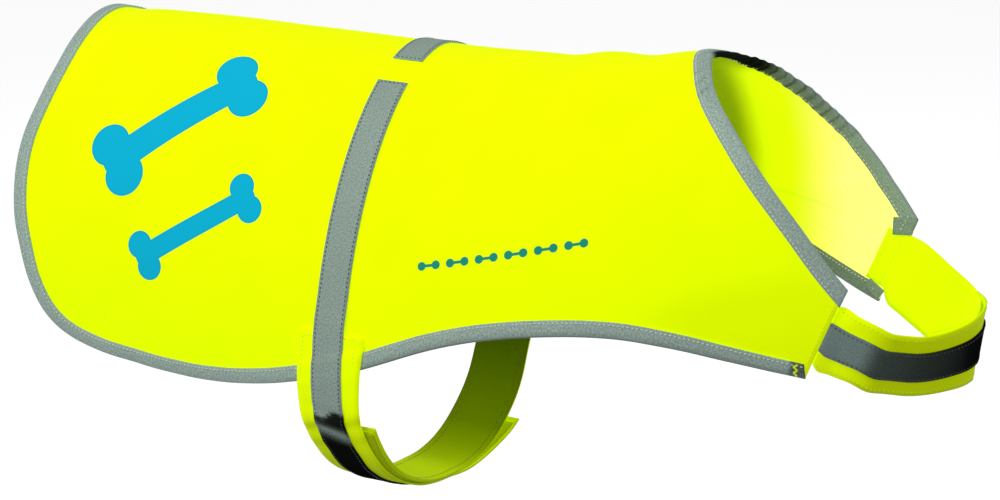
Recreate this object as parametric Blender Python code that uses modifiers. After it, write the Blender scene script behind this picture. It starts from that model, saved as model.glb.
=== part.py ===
"""Dog safety vest, as worn: a back panel with its edges bound, two belly straps,
two chest straps and strips of reflective tape.

The vest is draped on a general figure. A place on the cloth is given by its station along
the body (towards the head is plus), its distance around the body from the spine (to the
dog's left is plus) and its height above the figure. Sizes are in millimetres. The origin is
on the inner face of the cloth, on the spine above the belly straps.
"""

import functools
import math

import bpy
import numpy as np

MM = 0.001  # metres in a millimetre

# Cloth and tape
CLOTH_WALL = 1.2
TAPE_WALL = 1.0
PATCH_WALL = 0.8
GAP = 0.3  # between two pieces that lie on each other
TAPE_WIDTH = 20.0
STRAP_WIDTH = 40.0
BINDING_WIDTH = 10.0  # a 20 mm tape folded over the edge
EDGE_INSET = 1.5  # from the fold of the binding to the edge of the cloth in it

# The figure: sections across the body. The top is the height of the spine, the side drop
# goes from there to the widest level, and the under drop from there to the belly.
FIGURE_COLUMNS = ("station", "top", "half_width", "side_drop", "under_drop")
FIGURE = (
    (-260, -4, 119, 165, 100),
    (-120, 0, 126, 174, 99),
    (0, 0, 128, 179, 97),
    (95, 4, 122, 170, 105),
    (190, 17, 101, 144, 118),
    (250, 25, 80, 124, 120),
    (300, 30, 64, 117, 118),
)
SIDE_POWER = 1.08  # over 1, the back is a little more peaked than an ellipse
UNDER_POWER = 0.78  # under 1, the belly is squarer than an ellipse

# Half of the panel's outer edge, from the rear end of the spine to the front corner.
HEM_COLUMNS = ("station", "around")
HEM = (
    (-237, 0),
    (-236, 40),
    (-237, 80),
    (-241, 115),
    (-240, 140),
    (-235, 166),
    (-226, 191),
    (-213, 217),
    (-196, 234),
    (-172, 243),
    (-145, 247),
    (-100, 250),
    (-56, 246),
    (-22, 238),
    (20, 224),
    (65, 205),
    (101, 195),
    (137, 190),
    (171, 188.5),
    (203, 191.5),
    (250, 200),
    (274, 203.5),
)
REAR_CORNER = 230.0  # along that edge, where the rear of the panel turns into its hem

# Half of the neck edge, from the spine to the front corner that takes the chest strap.
NECK_COLUMNS = ("station", "around")
NECK = (
    (188, 0),
    (192, 15),
    (203, 38.5),
    (222, 63.5),
    (243.5, 88),
    (269, 114.5),
    (283, 130.5),
    (295.5, 144.5),
)

# The belly loop, by distance around the body from the spine down the right side. The
# bulge is the inner face of the inner strap above the figure, and the shifts say how far
# each strap wanders towards the head.
LOOP_COLUMNS = ("around", "bulge", "right_shift", "left_shift")
LOOP = (
    (200, 2.8, 0, 6),
    (231, 2.8, 0, 6),
    (264, -3, 0, 7),
    (300, -6.5, 2.5, 8),
    (340, -8, 2.5, 8),
    (380, -3.5, 0, 5),
    (421, 5.5, -3, 0),
    (447, 12, -3.5, -3),
    (472, 11, 1.5, -1),
    (492, 2, 10, 3),
    (512, -8, 10, 6),
    (532, -16, 10, 7),
    (552, -17, 10, 6.5),
    (580, -9, 10, 3),
    (608, 2.8, 10, 0),
    (642, 2.8, 10, 0),
)
BELLY_STEP = 9.0
BELLY_STRAP_TOP = 204.0  # where both straps are sewn to the panel, from the spine
TAPE_CLIMB = (8.0, 3.0)  # before the strap, where the tape starts to climb and is on it
STRAP_CLIMB = (14.0, 10.8)  # the same for the strap before it crosses the binding
PAST_HEM = 9.0
RIGHT_BELLY_END = 491.0  # the free ends, from the spine down the strap's own side
LEFT_BELLY_END = 578.0
BELLY_LOOP_PATCH = (305.0, 567.0)
BELLY_HOOK_PATCH = (432.0, 487.0)
PATCH_WIDTH = 34.0
STRAP_LIFT = 3.7  # of the outer strap over the inner one, with the patches between
LIFT_START = 236.0
LIFT_END = 260.0

# The tape across the back stops on both sides of a gap beside the ridge of the back.
RIGHT_TAPE_START = 45.0  # round from the spine, down the right side
LEFT_TAPE_START = 24.5  # this one starts past the spine, on the right side too
LEFT_TAPE_END = 292.0
TAPE_SHORT = 3.0  # of the free end of the right strap

# The chest straps: a U seen from above, wider along its top edge and more drawn in along
# its bottom edge, where the pinch is over 1.
CHEST_COLUMNS = ("across", "back", "reach", "half_width", "pinch")
CHEST = (
    (0.0, 284.7, 65.5, 67.7, 1.0),
    (1.0, 271.7, 75.8, 60.5, 1.35),
)
CHEST_TOP = (-97.8, -114.2)  # level of the top edge at the panel and in front
CHEST_BOTTOM = (-139.3, -156.1)
CHEST_TOP_POWER = 9.0
CHEST_BOTTOM_POWER = 7.0
CHEST_SEAT = 14.0  # of the strap behind the panel's front edge
CHEST_SEAT_TOP = 12.0  # below the neck corner, along the front edge
CHEST_SEAT_BOTTOM = 52.0
CHEST_SEAT_SLANT = 0.17  # how its bottom edge rises behind, beside the hem binding
CHEST_RIGHT_END = 52.0  # degrees round the U from its front, past the middle
CHEST_LEFT_END = 38.0
CHEST_FIRST = 74.0
CHEST_STEP = 5.0
CHEST_TAPE = (0.26, 0.74)  # across the strap
CHEST_TAPE_SHORT = 2.0
TAPE_PAST_PANEL = 2.2  # from the front edge to the end of the tape
CHEST_LOOP_PATCH = (-33.0, 45.0)
CHEST_HOOK_PATCH = (12.0, 47.0)
CHEST_PATCH = (0.08, 0.92)

# Points of the panel
PANEL_COLUMNS_OF_POINTS = 36
PANEL_ROWS_OF_POINTS = 24
NECK_CORNER_ROW = 20


def column(table, columns, name):
    return np.array([row[columns.index(name)] for row in table], float)


def smooth(knots, values):
    """A natural cubic spline through the values, as a function."""
    step = np.diff(knots)
    count = len(knots)
    system = np.eye(count)
    right_side = np.zeros(count)
    for i in range(1, count - 1):
        system[i, i - 1] = step[i - 1]
        system[i, i] = 2 * (step[i - 1] + step[i])
        system[i, i + 1] = step[i]
        rise = (values[i + 1] - values[i]) / step[i]
        rise_before = (values[i] - values[i - 1]) / step[i - 1]
        right_side[i] = 6 * (rise - rise_before)
    bend = np.linalg.solve(system, right_side)

    def value_at(place):
        i = int(np.clip(np.searchsorted(knots, place) - 1, 0, count - 2))
        left = (knots[i + 1] - place) / step[i]
        right = (place - knots[i]) / step[i]
        curved = (left**3 - left) * bend[i] + (right**3 - right) * bend[i + 1]
        return left * values[i] + right * values[i + 1] + curved * step[i] ** 2 / 6

    return value_at


STATIONS = column(FIGURE, FIGURE_COLUMNS, "station")
SPINE_TOP = smooth(STATIONS, column(FIGURE, FIGURE_COLUMNS, "top"))
HALF_WIDTH = smooth(STATIONS, column(FIGURE, FIGURE_COLUMNS, "half_width"))
SIDE_DROP = smooth(STATIONS, column(FIGURE, FIGURE_COLUMNS, "side_drop"))
UNDER_DROP = smooth(STATIONS, column(FIGURE, FIGURE_COLUMNS, "under_drop"))
QUARTER = np.linspace(0, math.pi / 2, 220)


@functools.lru_cache(maxsize=None)
def section(station):
    """Half of the figure's section: how far out, how high, and the distance round to it."""
    top = SPINE_TOP(station)
    width = HALF_WIDTH(station)
    side = SIDE_DROP(station)
    side_out = width * np.sin(QUARTER) ** SIDE_POWER
    side_high = top - side * (1 - np.abs(np.cos(QUARTER)) ** SIDE_POWER)
    under_out = width * np.abs(np.cos(QUARTER[1:])) ** UNDER_POWER
    under_high = top - side - UNDER_DROP(station) * np.sin(QUARTER[1:])
    out = np.concatenate([side_out, under_out])
    high = np.concatenate([side_high, under_high])
    lengths = np.hypot(np.diff(out), np.diff(high))
    return out, high, np.concatenate([[0.0], np.cumsum(lengths)])


def figure_point(station, around):
    out, high, lengths = section(round(station, 4))
    side = math.copysign(1.0, around)
    distance = abs(around)
    if distance > lengths[-1]:
        distance = 2 * lengths[-1] - distance
        side = -side
    y = side * np.interp(distance, lengths, out)
    return np.array([station, y, np.interp(distance, lengths, high)])


def raised(surface, first, second, height):
    """The point of a surface of two parameters, moved out along its normal."""
    reach = 1.5
    along_first = surface(first + reach, second) - surface(first - reach, second)
    along_second = surface(first, second + reach) - surface(first, second - reach)
    normal = np.cross(along_first, along_second)
    return surface(first, second) + normal / np.linalg.norm(normal) * height


def on_body(station, around, height):
    return raised(figure_point, station, around, height)


def edge_curve(rows):
    """An outline through rows of (station, around), as a function of the length along it."""
    rows = np.array(rows, float)
    knots = np.concatenate([[0.0], np.cumsum(np.hypot(*np.diff(rows, axis=0).T))])
    station_at = smooth(knots, rows[:, 0])
    around_at = smooth(knots, rows[:, 1])

    def point_and_inward(length, inset):
        step = 0.5
        forward = np.array([station_at(length + step), around_at(length + step)])
        backward = np.array([station_at(length - step), around_at(length - step)])
        run = (forward - backward) / np.linalg.norm(forward - backward)
        inward = np.array([run[1], -run[0]])
        return np.array([station_at(length), around_at(length)]) + inward * inset

    return point_and_inward, knots[-1] / 2


def both_sides(rows):
    """The rows of the left half, and before them their mirror images on the right."""
    mirrored = [(station, -around) for station, around in rows[:0:-1]]
    return mirrored + list(rows)


HEM_EDGE, HEM_HALF = edge_curve(both_sides(HEM))
NECK_EDGE, NECK_HALF = edge_curve(both_sides(NECK))


def hem_at(length, inset):
    """The hem outline at this length from its rear centre, left half plus."""
    return HEM_EDGE(HEM_HALF + length, inset)


def neck_at(length, inset):
    """The neck outline at this length from the spine. Its inward side is to the rear."""
    return NECK_EDGE(NECK_HALF + length, -inset)


def front_corner_top():
    return neck_at(NECK_HALF, 0.0)


def front_corner_bottom():
    return hem_at(HEM_HALF, 0.0)


def front_edge(distance):
    """The panel's front edge on the left, from the neck corner down."""
    top = front_corner_top()
    run = front_corner_bottom() - top
    return top + run / np.linalg.norm(run) * distance


def hem_around(station):
    """How far round the hem lies at this station, by the belly straps."""
    stations = column(HEM, HEM_COLUMNS, "station")[9:]
    return np.interp(station, stations, column(HEM, HEM_COLUMNS, "around")[9:])


def make_material(name, colour, roughness, metallic=0.0):
    material = bpy.data.materials.new(name)
    material.use_nodes = True
    shader = material.node_tree.nodes["Principled BSDF"]
    shader.inputs["Base Color"].default_value = (*colour, 1.0)
    shader.inputs["Roughness"].default_value = roughness
    shader.inputs["Metallic"].default_value = metallic
    material.diffuse_color = (*colour, 1.0)
    return material


def make_cloth(name, rows, wall, material):
    """A sheet through rows of points, given its wall by Solidify, half to each side."""
    points = [np.array(point) * MM for row in rows for point in row]
    across = len(rows[0])
    faces = []
    for i in range(len(rows) - 1):
        for j in range(across - 1):
            first = i * across + j
            faces.append((first, first + 1, first + across + 1, first + across))
    mesh = bpy.data.meshes.new(name)
    mesh.from_pydata([tuple(point) for point in points], [], faces)
    mesh.materials.append(material)
    mesh.shade_smooth()
    sheet = bpy.data.objects.new(name, mesh)
    VEST.objects.link(sheet)
    solidify = sheet.modifiers.new("wall", "SOLIDIFY")
    solidify.thickness = wall * MM
    solidify.offset = 0.0
    solidify.use_even_offset = True
    solidify.use_quality_normals = True
    return sheet


def panel_half(across_index, along_index):
    """A point of the left half of the panel, blended from its four edges."""
    w = across_index / PANEL_ROWS_OF_POINTS
    u = along_index / PANEL_COLUMNS_OF_POINTS
    rear = hem_at(w * REAR_CORNER, EDGE_INSET)
    hem = hem_at(REAR_CORNER + u * (HEM_HALF - REAR_CORNER), EDGE_INSET)
    front = panel_front(across_index)
    rear_top = hem_at(0.0, EDGE_INSET)
    front_top = panel_front(0)
    rear_bottom = hem_at(REAR_CORNER, EDGE_INSET)
    front_bottom = panel_front(PANEL_ROWS_OF_POINTS)
    spine = rear_top * (1 - u) + front_top * u
    ends = rear * (1 - u) + front * u
    sides = spine * (1 - w) + hem * w
    top_corners = (1 - w) * (rear_top * (1 - u) + front_top * u)
    bottom_corners = w * (rear_bottom * (1 - u) + front_bottom * u)
    return ends + sides - top_corners - bottom_corners


def panel_front(across_index):
    """The panel's edge along the neck, then down its front to the hem."""
    if across_index <= NECK_CORNER_ROW:
        return neck_at(NECK_HALF * across_index / NECK_CORNER_ROW, EDGE_INSET)
    top = neck_at(NECK_HALF, EDGE_INSET)
    bottom = hem_at(HEM_HALF, EDGE_INSET)
    share = (across_index - NECK_CORNER_ROW) / (PANEL_ROWS_OF_POINTS - NECK_CORNER_ROW)
    return top * (1 - share) + bottom * share


def make_panel(material):
    rows = []
    for across_index in range(-PANEL_ROWS_OF_POINTS, PANEL_ROWS_OF_POINTS + 1):
        row = []
        for along_index in range(PANEL_COLUMNS_OF_POINTS + 1):
            station, around = panel_half(abs(across_index), along_index)
            around = math.copysign(around, across_index)
            row.append(on_body(station, around, CLOTH_WALL / 2))
        rows.append(row)
    return make_cloth("back_panel", rows, CLOTH_WALL, material)


def binding_profile():
    """Rows of (distance in from the fold, height): down the outer leg, round, up the inner."""
    outer_leg = CLOTH_WALL + GAP + TAPE_WALL / 2
    inner_leg = -GAP - TAPE_WALL / 2
    fold = TAPE_WALL / 2
    turn = 0.7
    return (
        (BINDING_WIDTH, outer_leg),
        (fold + turn, outer_leg),
        (fold, outer_leg - turn),
        (fold, inner_leg + turn),
        (fold + turn, inner_leg),
        (BINDING_WIDTH, inner_leg),
    )


def make_binding(name, edge_at, lengths, material):
    rows = []
    for length in lengths:
        row = []
        for inset, height in binding_profile():
            station, around = edge_at(length, inset)
            row.append(on_body(station, around, height))
        rows.append(row)
    return make_cloth(name, rows, TAPE_WALL, material)


def mirrored_lengths(lengths):
    return [-length for length in lengths[:0:-1]] + list(lengths)


def make_hem_binding(material):
    """One tape from the right front corner, along the hem and round the rear, to the left."""
    rear = np.linspace(0, REAR_CORNER, PANEL_ROWS_OF_POINTS + 1)
    hem = np.linspace(REAR_CORNER, HEM_HALF, PANEL_COLUMNS_OF_POINTS + 1)
    lengths = mirrored_lengths(np.concatenate([rear, hem[1:]]))
    return make_binding("hem_binding", hem_at, lengths, material)


def make_neck_binding(material):
    """The tape round the neck, from one front corner to the other."""
    lengths = mirrored_lengths(np.linspace(0, NECK_HALF, NECK_CORNER_ROW + 1))
    return make_binding("neck_binding", neck_at, lengths, material)


LOOP_AROUND = column(LOOP, LOOP_COLUMNS, "around")
LOOP_BULGE = smooth(LOOP_AROUND, column(LOOP, LOOP_COLUMNS, "bulge"))
LOOP_SHIFT = {
    "right": smooth(LOOP_AROUND, column(LOOP, LOOP_COLUMNS, "right_shift")),
    "left": smooth(LOOP_AROUND, column(LOOP, LOOP_COLUMNS, "left_shift")),
}


def girth():
    """The whole way round the figure at the belly straps."""
    return 2 * section(0.0)[2][-1]


def hem_slant(station):
    """How much further round the hem lies at this station than in the middle of the strap."""
    return hem_around(station) - hem_around(0.0)


def loop_rows(side, start, end):
    """Rows across the belly loop as (distance round from the spine, share of the hem's slant,
    height of a strap's inner face). They run down from the spine on the strap's own side."""
    on_panel = CLOTH_WALL + GAP
    over_binding = on_panel + TAPE_WALL + GAP
    hem = hem_around(0.0)
    shared = from_spine(side, 0.0) % BELLY_STEP
    first = math.ceil((hem + PAST_HEM + 2) / BELLY_STEP)
    last = (end - shared) / BELLY_STEP - 0.2
    rows = [(place, 0.0, on_panel) for place in np.arange(start, 190, BELLY_STEP)]
    rows += [(BELLY_STRAP_TOP - before, 0.0, on_panel) for before in TAPE_CLIMB]
    rows.append((BELLY_STRAP_TOP, 0.0, on_panel))
    rows.append((hem - STRAP_CLIMB[0], 1.0, on_panel))
    rows.append((hem - STRAP_CLIMB[1], 1.0, over_binding))
    rows.append((hem, 1.0, over_binding))
    rows.append((hem + PAST_HEM, 0.5, inner_face(side, hem + PAST_HEM)))
    for place in np.append(np.arange(first, last) * BELLY_STEP + shared, end):
        rows.append((place, 0.0, inner_face(side, place)))
    return [row for row in rows if start <= row[0] <= end]


def from_spine(side, own):
    """The distance round from the spine down the right side, from that down the own side."""
    return own if side == "right" else girth() - own


def inner_face(side, own):
    """The height of a strap's inner face above the figure, below the hem."""
    around = from_spine(side, own)
    height = LOOP_BULGE(around)
    if side == "right":
        height += STRAP_LIFT * np.clip((around - LIFT_START) / (LIFT_END - LIFT_START), 0, 1)
    return height


def loop_point(side, own, slant, offset, height):
    """A point of the belly loop. The offset is towards the head from the loop's middle."""
    shift = LOOP_SHIFT[side](from_spine(side, own)) if own > LOOP_AROUND[0] else 0.0
    station = offset + shift
    place = own + slant * hem_slant(station)
    around = from_spine(side, place)
    if around > girth() / 2:
        around -= girth()
    return on_body(station, -around, height)


def make_loop_strip(name, side, start, end, width, lift, wall, across, material):
    """A strip on the belly loop, its inner face lifted from that of the strap."""
    rows = []
    for own, slant, height in loop_rows(side, start, end):
        middle = height + lift + wall / 2
        offsets = np.linspace(-width / 2, width / 2, across)
        rows.append([loop_point(side, own, slant, offset, middle) for offset in offsets])
    if side == "left":
        rows.reverse()
    return make_cloth(name, rows, wall, material)


def make_back_tape(side, start, end, material):
    """The reflective tape from beside the ridge of the back down one side and its strap."""
    rows = []
    for own, slant, height in loop_rows(side, start, end):
        on_strap = own > BELLY_STRAP_TOP - TAPE_CLIMB[0] + 1
        lift = CLOTH_WALL + GAP if on_strap else 0.0
        middle = height + lift + TAPE_WALL / 2
        offsets = np.linspace(-TAPE_WIDTH / 2, TAPE_WIDTH / 2, 3)
        rows.append([loop_point(side, own, slant, offset, middle) for offset in offsets])
    if side == "left":
        rows.reverse()
    return make_cloth(side + "_back_tape", rows, TAPE_WALL, material)


def chest_surface(degrees, percent):
    """The inner strap's inner face, by angle round the U and percent of its width down."""
    across = percent / 100
    angle = math.radians(degrees)
    places = column(CHEST, CHEST_COLUMNS, "across")
    back = np.interp(across, places, column(CHEST, CHEST_COLUMNS, "back"))
    reach = np.interp(across, places, column(CHEST, CHEST_COLUMNS, "reach"))
    half_width = np.interp(across, places, column(CHEST, CHEST_COLUMNS, "half_width"))
    pinch = np.interp(across, places, column(CHEST, CHEST_COLUMNS, "pinch"))
    sideways = abs(math.sin(angle))
    top = CHEST_TOP[1] + (CHEST_TOP[0] - CHEST_TOP[1]) * sideways**CHEST_TOP_POWER
    drop = CHEST_BOTTOM[0] - CHEST_BOTTOM[1]
    bottom = CHEST_BOTTOM[1] + drop * sideways**CHEST_BOTTOM_POWER
    x = back + reach * math.cos(angle) ** pinch
    y = half_width * math.copysign(sideways**pinch, angle)
    return np.array([x, y, top + (bottom - top) * across])


def on_chest(degrees, across, height):
    return raised(chest_surface, degrees, across * 100, -height)


def chest_seat_row(side, behind, height, shares):
    """A row of points this far behind the panel's front edge, at this height."""
    row = []
    for share in shares:
        bottom = CHEST_SEAT_BOTTOM - CHEST_SEAT_SLANT * max(behind, 0)
        down = CHEST_SEAT_TOP + (bottom - CHEST_SEAT_TOP) * share
        station, around = front_edge(down)
        around = around if side == "left" else -around
        row.append(on_body(station - behind, around, height))
    return row


def make_chest_strap(side, material):
    """From the seat behind the panel, round the U, to the free end past the middle."""
    sign = 1 if side == "left" else -1
    shares = np.linspace(0, 1, 6)
    rows = []
    for behind in (CHEST_SEAT, CHEST_SEAT / 2, -TAPE_PAST_PANEL):
        rows.append(chest_seat_row(side, behind, -GAP - CLOTH_WALL / 2, shares))
    end = -CHEST_LEFT_END if side == "left" else -CHEST_RIGHT_END
    for degrees in chest_lattice(CHEST_FIRST, end):
        heights = chest_strap_height(side, degrees)
        rows.append([on_chest(sign * degrees, share, heights) for share in shares])
    return make_cloth(side + "_chest_strap", rows, CLOTH_WALL, material)


def chest_lattice(start, end):
    """Angles from start down to end, on places shared by the pieces of the chest loop."""
    inner = np.arange(math.ceil(end / CHEST_STEP), math.floor(start / CHEST_STEP) + 1)
    places = [place for place in inner[::-1] * CHEST_STEP if end + 1 < place < start - 1]
    return [start] + places + [end]


def chest_strap_height(side, degrees):
    """The middle of the strap. The right one climbs over the left one's free end."""
    if side == "left":
        return CLOTH_WALL / 2
    climb = np.clip((CHEST_FIRST - degrees) / (CHEST_FIRST - CHEST_LEFT_END - 6), 0, 1)
    return CLOTH_WALL / 2 + STRAP_LIFT * climb


def chest_strip_rows(start, end, edges, height_at):
    """Rows on the chest loop. Angles run from the right side of the vest to the left."""
    rows = []
    for degrees in chest_lattice(-start, -end):
        shares = np.linspace(edges[0], edges[1], 4)
        rows.append([on_chest(-degrees, share, height_at(degrees)) for share in shares])
    return rows


def make_chest_tape(material):
    """The reflective tape on the right strap. It starts at the panel's front edge."""
    lift = CLOTH_WALL / 2 + GAP + TAPE_WALL / 2

    def tape_height_at(degrees):
        return chest_strap_height("right", degrees) + lift

    end = CHEST_RIGHT_END - CHEST_TAPE_SHORT
    shares = np.linspace(*CHEST_TAPE, 4)
    seat = -GAP - CLOTH_WALL / 2 + lift
    rows = [chest_seat_row("right", -TAPE_PAST_PANEL, seat, shares)]
    rows += chest_strip_rows(-CHEST_FIRST, end, CHEST_TAPE, tape_height_at)
    return make_cloth("chest_tape", rows, TAPE_WALL, material)


def make_chest_patch(name, reach, height, material):
    rows = chest_strip_rows(*reach, CHEST_PATCH, lambda degrees: height)
    return make_cloth(name, rows, PATCH_WALL, material)


def make_chest_pieces(cloth, tape, hook, loop):
    for side in ("right", "left"):
        make_chest_strap(side, cloth)
    make_chest_tape(tape)
    loop_height = CLOTH_WALL + GAP + PATCH_WALL / 2
    hook_height = loop_height + PATCH_WALL + GAP
    make_chest_patch("chest_loop_patch", CHEST_LOOP_PATCH, loop_height, loop)
    make_chest_patch("chest_hook_patch", CHEST_HOOK_PATCH, hook_height, hook)


def make_belly_pieces(cloth, tape, hook, loop):
    ends = {"right": RIGHT_BELLY_END, "left": LEFT_BELLY_END}
    for side, end in ends.items():
        name = side + "_belly_strap"
        make_loop_strip(name, side, BELLY_STRAP_TOP, end, STRAP_WIDTH, 0.0, CLOTH_WALL, 5, cloth)
    make_back_tape("right", RIGHT_TAPE_START, RIGHT_BELLY_END - TAPE_SHORT, tape)
    make_back_tape("left", -LEFT_TAPE_START, LEFT_TAPE_END, tape)
    loop_lift = CLOTH_WALL + GAP
    hook_lift = -GAP - PATCH_WALL
    start, end = BELLY_LOOP_PATCH
    make_loop_strip(
        "belly_loop_patch", "left", start, end, PATCH_WIDTH, loop_lift, PATCH_WALL, 4, loop
    )
    start, end = BELLY_HOOK_PATCH
    make_loop_strip(
        "belly_hook_patch", "right", start, end, PATCH_WIDTH, hook_lift, PATCH_WALL, 4, hook
    )


for old in list(bpy.data.objects):
    bpy.data.objects.remove(old, do_unlink=True)

VEST = bpy.data.collections.new("dog_safety_vest")
bpy.context.scene.collection.children.link(VEST)

CLOTH = make_material("fluorescent_cloth", (0.80, 1.0, 0.0), 0.75)
TAPE = make_material("reflective_tape", (0.30, 0.38, 0.32), 0.45, 0.2)
HOOK = make_material("hook_tape", (0.55, 0.70, 0.02), 0.85)
LOOP_TAPE = make_material("loop_tape", (0.60, 0.78, 0.02), 0.9)

make_panel(CLOTH)
make_hem_binding(TAPE)
make_neck_binding(TAPE)
make_belly_pieces(CLOTH, TAPE, HOOK, LOOP_TAPE)
make_chest_pieces(CLOTH, TAPE, HOOK, LOOP_TAPE)
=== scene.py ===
"""A dog safety vest of fluorescent cloth with grey bound edges, reflective tape, and straps
closed under the belly and round the chest. It keeps the form it has on a dog.

Sizes are in millimetres. A place on the cloth is its station along the body (towards the
head is plus), its distance around the body from the spine (to the dog's left is plus) and
its height above the dog's coat.
"""

import math

import bpy
import numpy as np
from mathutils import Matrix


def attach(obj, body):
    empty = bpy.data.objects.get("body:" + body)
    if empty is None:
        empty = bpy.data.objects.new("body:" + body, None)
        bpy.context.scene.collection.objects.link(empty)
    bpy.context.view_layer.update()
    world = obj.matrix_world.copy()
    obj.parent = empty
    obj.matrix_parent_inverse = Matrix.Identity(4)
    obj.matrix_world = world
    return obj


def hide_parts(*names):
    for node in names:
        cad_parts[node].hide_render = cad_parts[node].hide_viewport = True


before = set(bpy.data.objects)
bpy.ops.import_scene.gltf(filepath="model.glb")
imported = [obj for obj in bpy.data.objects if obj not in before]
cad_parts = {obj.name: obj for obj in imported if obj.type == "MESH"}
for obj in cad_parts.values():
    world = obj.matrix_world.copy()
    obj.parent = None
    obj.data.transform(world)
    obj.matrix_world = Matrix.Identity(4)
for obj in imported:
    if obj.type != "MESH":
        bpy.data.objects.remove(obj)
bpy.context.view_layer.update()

# ---------------------------------------------------------------------------------------
# The dog's form. Soft cloth has no shape of its own, so the vest is filled out by a general
# body: sections across it, peaked a little along the spine and squarer under the belly.
# ---------------------------------------------------------------------------------------
MM = 0.001
FORM_COLUMNS = ("station", "top", "half_width", "side_drop", "under_drop")
FORM = (
    (-260, -4, 119, 165, 100),
    (-120, 0, 126, 174, 99),
    (0, 0, 128, 179, 97),
    (95, 4, 122, 170, 105),
    (190, 17, 101, 144, 118),
    (250, 25, 80, 124, 120),
    (300, 30, 64, 117, 118),
)
SIDE_POWER = 1.08  # over 1, the back is a little more peaked than an ellipse
UNDER_POWER = 0.78  # under 1, the belly is squarer than an ellipse
SECTION_POINTS = 240


def column(table, names, name):
    return np.array([row[names.index(name)] for row in table], float)


def curve_through(knots, values):
    """A smooth curve through the values, read at an array of places."""
    knots = np.asarray(knots, float)
    values = np.asarray(values, float)
    step = np.diff(knots)
    slope = np.diff(values) / step
    system = np.eye(len(knots))
    right_side = np.zeros(len(knots))
    for i in range(1, len(knots) - 1):
        system[i, i - 1 : i + 2] = step[i - 1], 2 * (step[i - 1] + step[i]), step[i]
        right_side[i] = 6 * (slope[i] - slope[i - 1])
    bend = np.linalg.solve(system, right_side)

    def read(places):
        places = np.asarray(places, float)
        i = np.clip(np.searchsorted(knots, places) - 1, 0, len(knots) - 2)
        left = (knots[i + 1] - places) / step[i]
        right = (places - knots[i]) / step[i]
        curved = (left**3 - left) * bend[i] + (right**3 - right) * bend[i + 1]
        return left * values[i] + right * values[i + 1] + curved * step[i] ** 2 / 6

    return read


form_at = {
    name: curve_through(column(FORM, FORM_COLUMNS, "station"), column(FORM, FORM_COLUMNS, name))
    for name in FORM_COLUMNS[1:]
}


def section_across(station):
    """Half of a section: how far out, how high, and the distance round to it."""
    top, width, side, under = (float(form_at[name](station)) for name in FORM_COLUMNS[1:])
    angle = np.linspace(0, math.pi / 2, SECTION_POINTS)
    sine = np.sin(angle)
    cosine = np.abs(np.cos(angle))
    side_high = top - side * (1 - cosine**SIDE_POWER)
    out = np.concatenate([width * sine**SIDE_POWER, width * cosine[1:] ** UNDER_POWER])
    high = np.concatenate([side_high, top - side - under * sine[1:]])
    return out, high, np.concatenate([[0], np.cumsum(np.hypot(np.diff(out), np.diff(high)))])


# The form is read from a fine net of its points and of the directions straight out of it.
STATION_STEP = 2.0
AROUND_STEP = 1.5
NET_STATION = np.arange(-264.0, 308.0, STATION_STEP)
NET_AROUND = np.arange(-465.0, 466.0, AROUND_STEP)


def net_row(station):
    out, high, length = section_across(station)
    distance = np.abs(NET_AROUND)
    past_belly = distance > length[-1]
    folded = np.where(past_belly, 2 * length[-1] - distance, distance)
    side = np.where(past_belly, -1, 1) * np.where(NET_AROUND < 0, -1, 1)
    y = side * np.interp(folded, length, out)
    return np.stack([np.full_like(y, station), y, np.interp(folded, length, high)], -1)


form_net = np.array([net_row(station) for station in NET_STATION])
out_net = np.cross(np.gradient(form_net, axis=0), np.gradient(form_net, axis=1))
out_net /= np.linalg.norm(out_net, axis=-1, keepdims=True)


def on_dog(station, around, height):
    """Points over the dog's coat, and the directions straight out of it there."""
    station, around, height = np.broadcast_arrays(station, around, height)
    inside = 0.01  # the net's far edges belong to its last cells
    i = np.clip(station, NET_STATION[0], NET_STATION[-1] - inside) - NET_STATION[0]
    j = np.clip(around, NET_AROUND[0], NET_AROUND[-1] - inside) - NET_AROUND[0]
    i = i / STATION_STEP
    j = j / AROUND_STEP
    a = i.astype(int)
    b = j.astype(int)
    s = (i - a)[..., None]
    t = (j - b)[..., None]

    def read(net):
        near = net[a, b] * (1 - s) + net[a + 1, b] * s
        far = net[a, b + 1] * (1 - s) + net[a + 1, b + 1] * s
        return near * (1 - t) + far * t

    out = read(out_net)
    out = out / np.linalg.norm(out, axis=-1, keepdims=True)
    return read(form_net) + out * height[..., None], out


# ---------------------------------------------------------------------------------------
# Back panel: one piece of fluorescent polyester over the back and both flanks, cut on the
# fold at the spine. It hangs from the ridge of the back with a few soft creases: under the
# neck, above the belly straps and towards its corners.
# ---------------------------------------------------------------------------------------
HEM = (
    # (station, around), from the rear end of the spine to the left front corner
    (-237, 0),
    (-236, 40),
    (-237, 80),
    (-241, 115),
    (-240, 140),
    (-235, 166),
    (-226, 191),
    (-213, 217),
    (-196, 234),
    (-172, 243),
    (-145, 247),
    (-100, 250),
    (-56, 246),
    (-22, 238),
    (20, 224),
    (65, 205),
    (101, 195),
    (137, 190),
    (171, 188.5),
    (203, 191.5),
    (250, 200),
    (274, 203.5),
)
NECK = (
    # the same, from the front end of the spine
    (188, 0),
    (192, 15),
    (203, 38.5),
    (222, 63.5),
    (243.5, 88),
    (269, 114.5),
    (283, 130.5),
    (295.5, 144.5),
)
REAR_CORNER = 230.0  # along the hem, where the mesh turns from its rear edge to its side
CLOTH_WALL = 1.2
EDGE_INSET = 1.5  # from the fold of the binding to the edge of the cloth in it
PANEL_ROWS = 84  # of the mesh, from the spine to the hem
NECK_CORNER_ROW = 70
PANEL_COLUMNS = 180

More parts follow.
